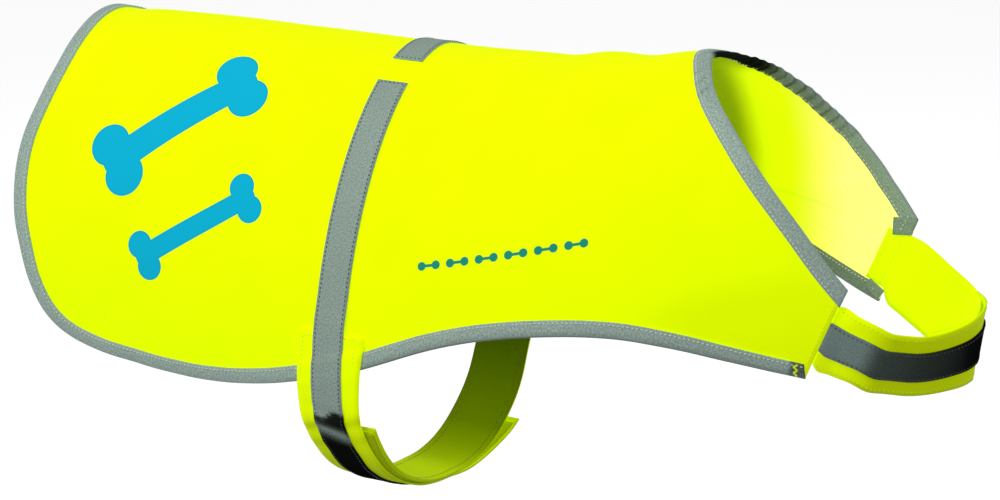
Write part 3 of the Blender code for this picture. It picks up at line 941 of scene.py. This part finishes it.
STRAP_CREASES = (
    # (own distance, slant, width, height)
    (253, 0.16, 3.0, -0.8),
    (260, -0.22, 3.2, 0.8),
    (268, 0.30, 3.0, -0.7),
    (276, -0.18, 3.4, 0.7),
    (289, 0.10, 5, -0.5),
    (306, -0.10, 7, 0.5),
    (352, 0.08, 8, -0.4),
    (398, 0.05, 8, 0.4),
    (452, 0.12, 7, -0.4),
    (520, 0.10, 8, 0.4),
)

loop_around = column(LOOP, LOOP_COLUMNS, "around")
loop_bulge = curve_through(loop_around, column(LOOP, LOOP_COLUMNS, "bulge"))
loop_shift = {
    "right": curve_through(loop_around, column(LOOP, LOOP_COLUMNS, "right_shift")),
    "left": curve_through(loop_around, column(LOOP, LOOP_COLUMNS, "left_shift")),
}
HEM_BESIDE = HEM[9:]  # the stretch of the hem that runs forward along the side
hem_station, hem_distance = (np.array(values, float) for values in zip(*HEM_BESIDE))


def hem_down(station):
    return np.interp(station, hem_station, hem_distance)


HEM_HERE = float(hem_down(0.0))  # where the middle of each strap crosses the hem


def from_spine(side, own):
    """How far a place is down the dog's right side, from how far it is down the strap's own."""
    return own if side == "right" else GIRTH - own


def round_loop(side, own):
    return np.clip(from_spine(side, own), loop_around[0], loop_around[-1])


def strap_inner_face(side, own):
    """The height of the strap's inner face: on the panel, over the binding, then free."""
    around = from_spine(side, own)
    free = loop_bulge(round_loop(side, own))
    if side == "right":
        climbed = (around - LIFT_REACH[0]) / (LIFT_REACH[1] - LIFT_REACH[0])
        free = free + STRAP_LIFT * np.clip(climbed, 0, 1)
    over_cloth = CLOTH_WALL + GAP
    over_tape = over_cloth + TAPE_WALL + GAP
    rise = [HEM_HERE - 14, HEM_HERE - 10.5]
    share = np.clip((own - HEM_HERE) / 9, 0, 1)
    return np.interp(own, rise, [over_cloth, over_tape]) * (1 - share) + free * share


def rounded_fold(away, width):
    """A rounded fold in section."""
    return np.exp(-((away / width) ** 2))


def on_belly(side, own, offset, lift):
    """A point of the belly loop, lifted from the strap's inner face. Creases are shared."""
    own, offset = np.broadcast_arrays(own, offset)
    slanted = [STRAP_TOP, HEM_HERE - 14, HEM_HERE, HEM_HERE + 18]
    slant = np.interp(own, slanted, [0, 1, 1, 0])
    shift = np.where(own > loop_around[0], loop_shift[side](round_loop(side, own)), 0)
    station = offset + shift
    place = own + slant * (hem_down(station) - HEM_HERE)
    around = from_spine(side, place)
    around = -np.where(around > GIRTH / 2, around - GIRTH, around)
    height = strap_inner_face(side, own) + lift
    for at, lean, width, high in STRAP_CREASES:
        fold = rounded_fold(own - at - lean * offset, width)
        height = height + high * fold * (0.75 - 0.55 * (offset / HALF_STRAP) ** 2)
    sewn_share = np.clip((HEM_HERE + 12 - own) / 20, 0, 1)
    return on_dog(station, around, height + sewn_share * crease_height(station, around))


def flared(own, offset):
    """The strap's front edge is spread a little where it is sewn over the hem."""
    spread = FLARE * rounded_fold(own - FLARE_AT, FLARE_REACH)
    return offset + spread * np.clip(offset / HALF_STRAP, 0, 1) ** 2


def strap_shade(side, own, offset):
    """Painted light on the strap's outer face: painted shade in creases and on the left one's end.
    """
    if side == "left":
        return 1 - LEFT_END_SHADE * eased(own, *LEFT_END_REACH)
    slant = own + 0.3 * offset
    creases = sum(dark * rounded_fold(slant - at, width) for at, width, dark in SHADED_CREASES)
    return 1 - creases * eased(np.abs(offset), 4, 10)  # the tape covers the strap's middle


def strip_on_belly(name, side, start, end, width, lift, wall, materials):
    """A length of the belly loop: a strap, or a patch this far out from a strap's inner face."""
    own = np.linspace(start, end, int((end - start) / STRAP_STEP) + 1)[:, None]
    offset = np.linspace(-width / 2, width / 2, STRAP_COLUMNS)[None]
    points, out = on_belly(side, own, flared(own, offset), lift + wall / 2)
    cut = np.stack(np.broadcast_arrays(offset + STRAP_PLAN, own), -1)
    piece = sheet_of(name, points, out, cut, wall, materials)
    # Painted light level: painted shade in the creases, at the left strap's end, and where it
    # looks down.
    set_values(piece, "painted_light_level", strap_shade(side, own, offset) * painted_light_by_facing(out))
    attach(piece, "root")
    return piece


# The inner face has painted shade from the vest above, in olive: darkest at the hem. Painted glow
# lights the bottom of the loop, where light comes in from the front. By metres from the spine.
OLIVE_PAINTED_SHADE = (0.06, 0.12, 0.0)
OLIVE_REACH = (0.28, 0.44)
OLIVE_SHARE = (0.91, 0.14)
LIT_REACH = (0.36, 0.43)
LIT_GLOW = 0.31
strap_reverse, strap_colour = dyed_cloth("strap_reverse")
painted_shade_share = strap_reverse.range(strap_reverse.around, *OLIVE_REACH, *OLIVE_SHARE)
strap_reverse.give("Base Color", strap_reverse.mix(painted_shade_share, strap_colour, OLIVE_PAINTED_SHADE))
lit = strap_reverse.range(strap_reverse.around, *LIT_REACH, 0.0, LIT_GLOW)
strap_reverse.give("Emission Strength", lit)


for side, end in STRAP_ENDS.items():
    strip_on_belly(
        side + "_belly_strap_cloth",
        side,
        STRAP_TOP,
        end,
        STRAP_WIDTH,
        lift=0.0,
        wall=CLOTH_WALL,
        materials=[plain.material, strap_reverse.material],
    )
    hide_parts(side + "_belly_strap")


def strap_seam(side, start, end, offset, lift):
    """A line of stitches along the strap, or across it where start and end are equal."""
    if start == end:
        offsets = np.linspace(-offset, offset, 30)
        return on_belly(side, np.full(30, float(start)), offsets, lift)
    own = np.linspace(start, end, int(abs(end - start) / 2) + 2)
    return on_belly(side, own, np.full(len(own), float(offset)), lift)


# A box of stitches holds the top of each strap, and a row its turned-in free end.
on_strap = CLOTH_WALL + ON_TOP
BOX = 17.5  # half its width
BOX_INSET = 2.5
BOX_DOWN = 22
strap_rows = []
for side, end in STRAP_ENDS.items():
    box_top = STRAP_TOP + BOX_INSET
    for offset in (-BOX, BOX):
        seam = strap_seam(side, box_top, STRAP_TOP + BOX_DOWN, offset, on_strap)
        strap_rows.append(stitched(*seam))
    for across in (box_top, end - BOX_INSET):
        strap_rows.append(stitched(*strap_seam(side, across, across, BOX, on_strap)))

# ---------------------------------------------------------------------------------------
# Hook and loop on the belly straps: a long brushed loop patch on the outer face of the left
# strap and a short hook patch on the inner face of the right one.
# ---------------------------------------------------------------------------------------
PATCH_WALL = 0.8
PATCH_WIDTH = 37.0
BELLY_LOOP_PATCH = (305.0, 575.0)
BELLY_HOOK_PATCH = (432.0, 487.0)


def pile(name, colour, scale, height):
    """A nap of small loops or hooks, as a fine uneven bump."""
    nap = Finish(name, colour, roughness=0.95)
    tuft = nap.noise(scale, 3.0)
    shade = nap.mix(nap.range(tuft, 0.3, 0.7), times(colour, 0.62), colour)
    nap.give("Base Color", shade)
    nap.give("Specular IOR Level", 0.1)
    nap.give("Sheen Weight", 0.3)
    nap.give("Sheen Tint", colour)
    # Painted glow, as on the cloth.
    nap.give("Emission Color", FLUORESCENT)
    nap.give("Emission Strength", 0.16)
    tufts = nap.maths("MULTIPLY", tuft, height * MM)
    nap.weave(pitch=1.5, depth=height * 0.3, strength=0.7, grain=tufts)
    return nap.material


loop_pile = pile("brushed_loop_pile", (0.62, 0.84, 0.0), scale=700.0, height=0.35)
hook_pile = pile("moulded_hook_pile", (0.56, 0.78, 0.0), scale=1100.0, height=0.45)
belly_loop = strip_on_belly(
    "belly_loop_pile",
    "left",
    *BELLY_LOOP_PATCH,
    PATCH_WIDTH,
    lift=CLOTH_WALL + GAP,
    wall=PATCH_WALL,
    materials=[loop_pile],
)
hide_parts("belly_loop_patch")
belly_hook = strip_on_belly(
    "belly_hook_pile",
    "right",
    *BELLY_HOOK_PATCH,
    PATCH_WIDTH,
    lift=-GAP - PATCH_WALL,
    wall=PATCH_WALL,
    materials=[hook_pile],
)
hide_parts("belly_hook_patch")

# The loop patch is sewn through, so its box of stitches shows on the strap's inner face,
# and so does the box that holds the strap to the panel.
INNER_BOXES = ((307.5, 571.0), (238.0, 264.0))
INNER_BOX = 15.5  # half their width
inner_rows = []
for start, end in INNER_BOXES:
    for offset in (-INNER_BOX, INNER_BOX):
        inner_rows.append(stitched(*strap_seam("left", start, end, offset, -ON_TOP), -1))
    for across in (start, end):
        seam = strap_seam("left", across, across, INNER_BOX, -ON_TOP)
        inner_rows.append(stitched(*seam, -1))
inner_stitches = sewn("inner_strap_stitches", inner_rows, yellow_thread_painted_shade)

# ---------------------------------------------------------------------------------------
# Reflective tape over the back: 20 mm wide, from both sides up to a gap beside the ridge of
# the back, down the flanks and on along the belly straps, sewn along both edges.
# ---------------------------------------------------------------------------------------
TAPE_WIDTH = 20.0
TAPE_STEP = 2.0  # of its mesh, along the tape
TAPE_COLUMNS = 9
TAPE_PLAN = 900
TAPE_GREY = (0.36, 0.475, 0.385)
# the colour that the painted shade on the tape goes to
TAPE_DARK = (0.007, 0.008, 0.007)
TAPE_REACH = {"right": (45.0, 488.0), "left": (-24.5, 292.0)}
TAPE_SEAM = 1.5  # of its rows of stitches, from its edges

back_tape_finish = grey_tape("grey_reflective_tape", TAPE_GREY, TAPE_DARK)


def tape_lift(own):
    """From the strap's inner face up to the tape's. It climbs before it meets the strap."""
    return (CLOTH_WALL + GAP) * eased(own, STRAP_TOP - 24, STRAP_TOP - 1)


def tape_on_belly(name, side, painted_shade_at):
    start, end = TAPE_REACH[side]
    own = np.linspace(start, end, int((end - start) / TAPE_STEP) + 1)[:, None]
    offset = np.linspace(-TAPE_WIDTH / 2, TAPE_WIDTH / 2, TAPE_COLUMNS)[None]
    points, out = on_belly(side, own, offset, tape_lift(own) + TAPE_WALL / 2)
    cut = np.stack(np.broadcast_arrays(offset + TAPE_PLAN, own), -1)
    piece = sheet_of(name, points, out, cut, TAPE_WALL, [back_tape_finish])
    set_values(piece, "painted_shade", np.broadcast_to(painted_shade_at(own, offset), points.shape[:2]))
    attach(piece, "root")
    return piece


DARK_FROM = 253.0  # down the right strap: its tape bends away from the light here
GREY_FOLD_AT = 268.0  # one fold in the painted shade still shines a little: less is painted there
LEFT_DARK_FROM = 262.0


def shaded_below_bend(own, offset):
    """Painted shade where the strap bends under the belly, with a ragged edge."""
    edge = own - DARK_FROM + 0.25 * offset + 1.5 * np.sin(offset / 2.3)
    grey_fold = 0.75 * rounded_fold(own - GREY_FOLD_AT - 0.30 * offset, 4.5)
    return eased(edge, 0, 3) * (0.97 - grey_fold)


# Painted shade on the left tape too, where it bends under the belly.
def left_shaded_below_bend(own, offset):
    return np.clip((own - LEFT_DARK_FROM) / 30, 0, 1) * 0.85


right_tape = tape_on_belly("right_back_reflective", "right", shaded_below_bend)
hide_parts("right_back_tape")
left_tape = tape_on_belly("left_back_reflective", "left", left_shaded_below_bend)
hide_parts("left_back_tape")


def on_tape(side, own, offset):
    own, offset = np.broadcast_arrays(own, offset)
    return on_belly(side, own, offset, tape_lift(own) + TAPE_WALL + ON_TOP)


tape_rows = []
seam_aside = TAPE_WIDTH / 2 - TAPE_SEAM
for side, (start, end) in TAPE_REACH.items():
    seam_ends = (start + TAPE_SEAM, end - TAPE_SEAM)
    own = np.linspace(*seam_ends, int((end - start) / TAPE_STEP))
    for offset in (-seam_aside, seam_aside):
        tape_rows.append(stitched(*on_tape(side, own, offset)))
    for across in seam_ends:
        offsets = np.linspace(-seam_aside, seam_aside, 12)
        tape_rows.append(stitched(*on_tape(side, across, offsets)))

# ---------------------------------------------------------------------------------------
# Chest straps: two straps sewn behind the panel's front edges, bent round the front of the
# chest and closed the same way. Only the right one carries reflective tape.
# ---------------------------------------------------------------------------------------
CHEST_TOP_ROW = (284.7, 65.5, 67.7, 1.0)  # of the U seen from above: its back, reach and
CHEST_LOW_ROW = (271.7, 75.8, 60.5, 1.35)  # half width, and how far its sides are pinched
CHEST_TOP = (-97.8, -114.2)  # the height of the upper edge at the side and in front
CHEST_BOTTOM = (-139.3, -156.1)
CHEST_TOP_POWER = 9.0  # both edges run level in front and rise only near the sides
CHEST_BOTTOM_POWER = 7.0
CHEST_SEAT = 14.0  # how far each strap runs behind the panel
CHEST_SEAT_DOWN = (12.0, 52.0)  # its edges there, down from the neck corner
CHEST_SEAT_SLANT = 0.17
CHEST_FIRST = 74.0  # degrees round from the front, where the strap is free of the panel
CHEST_ENDS = {"right": 52.0, "left": 38.0}  # the same, of the free ends past the front
CHEST_LEAVES = -2.3  # past the panel's edge, where the strap turns to the front
BRIDGE_ROWS = 5  # of the mesh, from there to its first free row
CLIMBED_BEFORE = 6.0  # degrees before the left strap's end, the right one has climbed
CHEST_END_DROP = 2.1
CHEST_DROP_REACH = (34, 50)
CHEST_STEP = 2.0
CHEST_COLUMNS = 12
CHEST_PLAN = 1500
CHEST_NARROWED = 0.07  # of its width, off the upper edge of the right strap's free end
CHEST_CREASES = (
    # (degrees round from the front, width, height)
    (-66, 5, -0.9),
    (-58, 4, 1.6),
    (-47, 6, -0.6),
    (-14, 7, 0.4),
    (16, 6, 0.7),
    (44, 8, -0.3),
)


def chest_point(degrees, share):
    """A point of the U round the chest, this share of the way down from its upper edge."""
    angle = np.radians(degrees)
    back, reach, half_width, pinch = (
        np.array(CHEST_TOP_ROW)[:, None, None] * (1 - share)
        + np.array(CHEST_LOW_ROW)[:, None, None] * share
    )
    sideways = np.abs(np.sin(angle))
    top = CHEST_TOP[1] + (CHEST_TOP[0] - CHEST_TOP[1]) * sideways**CHEST_TOP_POWER
    drop = CHEST_BOTTOM[0] - CHEST_BOTTOM[1]
    bottom = CHEST_BOTTOM[1] + drop * sideways**CHEST_BOTTOM_POWER
    x = back + reach * np.maximum(np.cos(angle), 0) ** pinch
    y = half_width * np.sign(angle) * sideways**pinch
    return np.stack([x, y, top + (bottom - top) * share], -1)


def on_chest(degrees, share, height):
    """Points of the chest loop over the inner strap's inner face, and the way out there."""
    degrees, share, height = (
        np.atleast_2d(values) for values in np.broadcast_arrays(degrees, share, height)
    )
    ahead, down = 1.5, 0.015
    round_it = chest_point(degrees + ahead, share) - chest_point(degrees - ahead, share)
    down_it = chest_point(degrees, share + down) - chest_point(degrees, share - down)
    out = np.cross(down_it, round_it)
    out /= np.linalg.norm(out, axis=-1, keepdims=True)
    for at, width, high in CHEST_CREASES:
        height = height + high * rounded_fold(degrees - at, width) * (0.6 + 0.5 * share)
    return chest_point(degrees, share) + out * height[..., None], out


def on_seat(side, behind, share, height):
    """Points on the inner face of the panel, this far behind its front edge."""
    top = np.array(neck_place(np.array(NECK_HALF), 0.0))
    low = np.array(hem_place(np.array(HEM_HALF), 0.0))
    low_edge = CHEST_SEAT_DOWN[1] - CHEST_SEAT_SLANT * np.maximum(behind, 0)
    low_edge = low_edge + 1.6 * np.maximum(-behind, 0)
    down = CHEST_SEAT_DOWN[0] + (low_edge - CHEST_SEAT_DOWN[0]) * share
    run = (low - top) / np.linalg.norm(low - top)
    station = top[0] + run[0] * down - behind
    around = top[1] + run[1] * down
    return on_panel(station, around if side == "left" else -around, height)


def chest_climb(degrees):
    """How far the right strap has climbed to pass over the left one, less at its free end."""
    reach = CHEST_FIRST - CHEST_ENDS["left"] - CLIMBED_BEFORE
    climbed = STRAP_LIFT * np.clip((CHEST_FIRST - degrees) / reach, 0, 1)
    return climbed - CHEST_END_DROP * eased(-degrees, *CHEST_DROP_REACH)


def chest_rows(side, shares, first_behind, end, lift):
    """A net from behind the panel, or from its edge, round to the strap's free end."""
    shares = np.asarray(shares, float)
    sign = 1 if side == "left" else -1
    seat_height = -GAP - CLOTH_WALL + lift
    behind = np.arange(first_behind, CHEST_LEAVES, -CHEST_STEP)
    seat, seat_out = on_seat(side, behind[:, None], shares[None], seat_height)
    degrees = np.arange(CHEST_FIRST, end - 0.01, -CHEST_STEP)
    degrees = np.append(degrees[:-1], end)[:, None]
    climb = chest_climb(degrees) if side == "right" else 0.0
    narrowed = CHEST_NARROWED * eased(-degrees, 10, 50) if side == "right" else 0.0
    spread = shares[None] + narrowed * (1 - shares[None])
    free, free_out = on_chest(sign * degrees, spread, climb + lift)
    ease = np.linspace(0, 1, BRIDGE_ROWS + 2)[1:-1, None, None]
    gap = np.linalg.norm(free[:1] - seat[-1:], axis=-1, keepdims=True)
    leave = seat[-1:] - on_seat(side, -1.0, shares[None], seat_height)[0]
    leave = leave / np.linalg.norm(leave, axis=-1, keepdims=True) * gap
    arrive = free[1:2] - free[:1]
    arrive = arrive / np.linalg.norm(arrive, axis=-1, keepdims=True) * gap
    bridge = (
        seat[-1:] * (1 - ease) ** 2 * (1 + 2 * ease)
        + free[:1] * ease**2 * (3 - 2 * ease)
        + (leave * (1 - ease) - arrive * ease) * ease * (1 - ease)
    )
    bridge_out = seat_out[-1:] * (1 - ease) + free_out[:1] * ease
    points = np.concatenate([seat, bridge, free])
    out = np.concatenate([seat_out, bridge_out, free_out])
    run = np.linalg.norm(np.diff(points, axis=0), axis=-1).mean(axis=1)
    along = np.concatenate([[0], np.cumsum(run)])[:, None]
    cut = np.stack(np.broadcast_arrays(along + CHEST_PLAN, shares[None] * STRAP_WIDTH), -1)
    return points, out, cut


def chest_seam(side, share, first_behind, end, lift):
    """A row of stitches along a chest strap, this share of its width from its upper edge."""
    points, out, _ = chest_rows(side, [share], first_behind, end, lift)
    return stitched(points[:, 0], out[:, 0])


CHEST_SEAMS = (0.06, 0.94)  # across the strap
FRONT_SHADE = 0.72  # in front, the right strap faces away from the light: painted shade, less glow
FRONT_REACH = (0.21, 0.28)  # along the strap, where its front begins
chest_straps = {}
for side in ("right", "left"):
    end = -CHEST_ENDS[side]
    shares = np.linspace(0, 1, CHEST_COLUMNS)
    points, out, cut = chest_rows(side, shares, CHEST_SEAT, end, CLOTH_WALL / 2)
    chest_straps[side] = sheet_of(
        side + "_chest_strap_cloth",
        points,
        out,
        cut,
        CLOTH_WALL,
        [plain.material],
    )
    if side == "right":
        in_front = eased(np.linspace(0, 1, len(points))[:, None], *FRONT_REACH)
        light = np.broadcast_to(1 - FRONT_SHADE * in_front, points.shape[:2])
        set_values(chest_straps[side], "painted_light_level", light)
    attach(chest_straps[side], "root")
    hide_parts(side + "_chest_strap")
    for share in CHEST_SEAMS:
        strap_rows.append(chest_seam(side, share, -2.0, end + 2, CLOTH_WALL + ON_TOP))

# Two rows hold each strap in its seat. The first one goes through the panel.
SEAT_ROWS = (3.0, 11.5)  # behind the panel's front edge
under_seat = -GAP - CLOTH_WALL - ON_TOP
for side in ("right", "left"):
    for behind, height, way in (
        (SEAT_ROWS[0], CLOTH_WALL + ON_TOP, 1),
        (SEAT_ROWS[0], under_seat, -1),
        (SEAT_ROWS[1], under_seat, -1),
    ):
        row = on_seat(side, behind, np.linspace(0.02, 0.98, 30), height)
        strap_rows.append(stitched(*row, way))

# A few loops of the same thread, over and over, hold each front end of the hem binding.
TACK = ((269.8, 193.6), (268.0, 195.4), (269.8, 197.2), (268.0, 199.0), (269.4, 201.2))
TACK_STITCH = (1.6, 2.4, 1.3)  # longer than their pitch, so that they run together
TACK_LIFT = 0.3
for way in (-1, 1):
    turns = np.arange(0, len(TACK) - 0.9, 0.1)
    station = np.interp(turns, range(len(TACK)), [place[0] for place in TACK])
    around = np.interp(turns, range(len(TACK)), [place[1] * way for place in TACK])
    tack = on_panel(station, around, outer_leg + TACK_LIFT)
    strap_rows.append(stitched(*tack, stitch=TACK_STITCH))
strap_stitches = sewn("strap_stitches", strap_rows, yellow_thread)

# ---------------------------------------------------------------------------------------
# Tape, hook and loop on the chest straps: reflective tape on the right strap from the
# panel's edge to the strap's free end, and a hook and a loop patch between the two straps.
# ---------------------------------------------------------------------------------------
CHEST_TAPE = (0.26, 0.74)  # across the strap
CHEST_TAPE_BEHIND = 0.9
CHEST_TAPE_SEAM = 0.035
# the same tape as on the back, in a darker grey as painted shade
CHEST_GREY_PAINTED_SHADE = (0.19, 0.28, 0.22)
# the colour that its painted shade goes to
CHEST_DARK = (0.010, 0.010, 0.010)
CHEST_PATCH = (0.08, 0.92)  # across the strap
CHEST_LOOP_PATCH = (-33.0, 45.0)  # degrees round from the front
CHEST_HOOK_PATCH = (12.0, 47.0)
CHEST_PATCH_PLAN = 2000

chest_tape_finish = grey_tape("reflective_tape_painted_shade", CHEST_GREY_PAINTED_SHADE, CHEST_DARK)
chest_tape_end = -CHEST_ENDS["right"] + 2
tape_shares = np.linspace(*CHEST_TAPE, 7)
tape_middle = CLOTH_WALL + GAP + TAPE_WALL / 2
points, out, cut = chest_rows(
    "right", tape_shares, CHEST_TAPE_BEHIND, chest_tape_end, tape_middle
)
chest_tape = sheet_of("chest_reflective", points, out, cut, TAPE_WALL, [chest_tape_finish])
# Painted shade on it at the bend to the front, and more and more towards its free end.
toward_end = np.linspace(0, 1, len(points))[:, None]
darker = 0.62 * eased(toward_end, 0.15, 0.21) + 0.36 * eased(toward_end, 0.21, 0.60)
set_values(chest_tape, "painted_shade", np.broadcast_to(darker, points.shape[:2]))
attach(chest_tape, "root")
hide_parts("chest_tape")
on_chest_tape = CLOTH_WALL + GAP + TAPE_WALL + ON_TOP
for share in (CHEST_TAPE[0] + CHEST_TAPE_SEAM, CHEST_TAPE[1] - CHEST_TAPE_SEAM):
    tape_rows.append(chest_seam("right", share, -0.6, chest_tape_end, on_chest_tape))
tape_stitches = sewn("tape_stitches", tape_rows, dark_thread)


def chest_patch(name, reach, lift, material):
    degrees = np.linspace(*reach, int((reach[1] - reach[0]) / CHEST_STEP))[:, None]
    shares = np.linspace(*CHEST_PATCH, CHEST_COLUMNS)[None]
    points, out = on_chest(degrees, shares, lift + PATCH_WALL / 2)
    along = degrees * 1.1 + CHEST_PATCH_PLAN
    cut = np.stack(np.broadcast_arrays(along, shares * STRAP_WIDTH), -1)
    piece = sheet_of(name, points, out, cut, PATCH_WALL, [material])
    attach(piece, "root")
    return piece


chest_loop = chest_patch("chest_loop_pile", CHEST_LOOP_PATCH, CLOTH_WALL + GAP, loop_pile)
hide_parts("chest_loop_patch")
chest_hook = chest_patch(
    "chest_hook_pile", CHEST_HOOK_PATCH, CLOTH_WALL + 2 * GAP + PATCH_WALL, hook_pile
)
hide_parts("chest_hook_patch")

# ---------------------------------------------------------------------------------------
# The studio: a pale floor where the dog would stand, soft light from above and in front,
# and the camera on the dog's right, a little ahead of square and above the back.
# ---------------------------------------------------------------------------------------
FLOOR_DROP = 620.0
REACH = 30.0  # of the floor, in metres, to all sides
WHITE = (1.0, 1.0, 1.0)
paper = Finish("white_paper", (0.93, 0.93, 0.93), roughness=0.9)
paper.give("Emission Color", WHITE)
paper.give("Emission Strength", 0.62)
floor_mesh = bpy.data.meshes.new("floor")
floor_corners = [(-REACH, -REACH, 0), (REACH, -REACH, 0), (REACH, REACH, 0), (-REACH, REACH, 0)]
floor_mesh.from_pydata(floor_corners, [], [(0, 1, 2, 3)])
floor = piece_of("floor", floor_mesh, [paper.material])
floor.location.z = -FLOOR_DROP * MM
floor.visible_diffuse = False

# Soft white light from all round above the floor, and little from below. The level goes
# up with the height of the direction that the light comes from.
SKY_HEIGHT = (-0.5, 0.3)
SKY_LIGHT = (0.06, 0.30)
world = bpy.data.worlds.new("studio")
world.use_nodes = True
sky = world.node_tree
direction = sky.nodes.new("ShaderNodeTexCoord")
split = sky.nodes.new("ShaderNodeSeparateXYZ")
level = sky.nodes.new("ShaderNodeMapRange")
sky.links.new(direction.outputs["Generated"], split.inputs[0])
sky.links.new(split.outputs["Z"], level.inputs["Value"])
ends = (*SKY_HEIGHT, *SKY_LIGHT)
for name, value in zip(("From Min", "From Max", "To Min", "To Max"), ends):
    level.inputs[name].default_value = value
sky.links.new(level.outputs[0], sky.nodes["Background"].inputs["Strength"])
sky.nodes["Background"].inputs["Color"].default_value = (*WHITE, 1)
bpy.context.scene.world = world
bpy.context.scene.view_settings.view_transform = "Standard"


def aimed(name, data, place, aim):
    """A lamp or the camera in its place, looking at its aim."""
    thing = bpy.data.objects.new(name, data)
    thing.location = place
    towards = np.array(aim, float) - np.array(place, float)
    pitch = math.atan2(math.hypot(towards[0], towards[1]), -towards[2])
    thing.rotation_euler = (pitch, 0, math.atan2(-towards[0], towards[1]))
    bpy.context.scene.collection.objects.link(thing)
    return thing


LAMP_SIZE = 0.9
LAMPS = {
    # (place, aim, power)
    "overhead": ((-0.4, -1.3, 1.7), (0.0, 0.0, -0.1), 19.0),
    "front_left": ((-1.2, -1.7, 0.3), (0.0, 0.0, -0.1), 3.5),
    "behind": ((0.9, 1.6, 1.2), (0.1, 0.0, -0.1), 4.0),
}
for name, (place, aim, power) in LAMPS.items():
    lamp = bpy.data.lights.new(name, "AREA")
    lamp.shape = "DISK"
    lamp.size = LAMP_SIZE
    lamp.energy = power
    aimed(name, lamp, place, aim)

CAMERA_AIM = (0.050, 0.0, -0.125)
CAMERA_AWAY = 1.5
azimuth = math.radians(26.0)
elevation = math.radians(20.0)
flat_away = CAMERA_AWAY * math.cos(elevation)
away = (
    flat_away * math.sin(azimuth),
    -flat_away * math.cos(azimuth),
    CAMERA_AWAY * math.sin(elevation),
)
camera_data = bpy.data.cameras.new("camera")
camera_data.lens = 86.8
camera_data.sensor_width = 36.0
camera = aimed("camera", camera_data, np.add(CAMERA_AIM, away), CAMERA_AIM)
bpy.context.scene.camera = camera
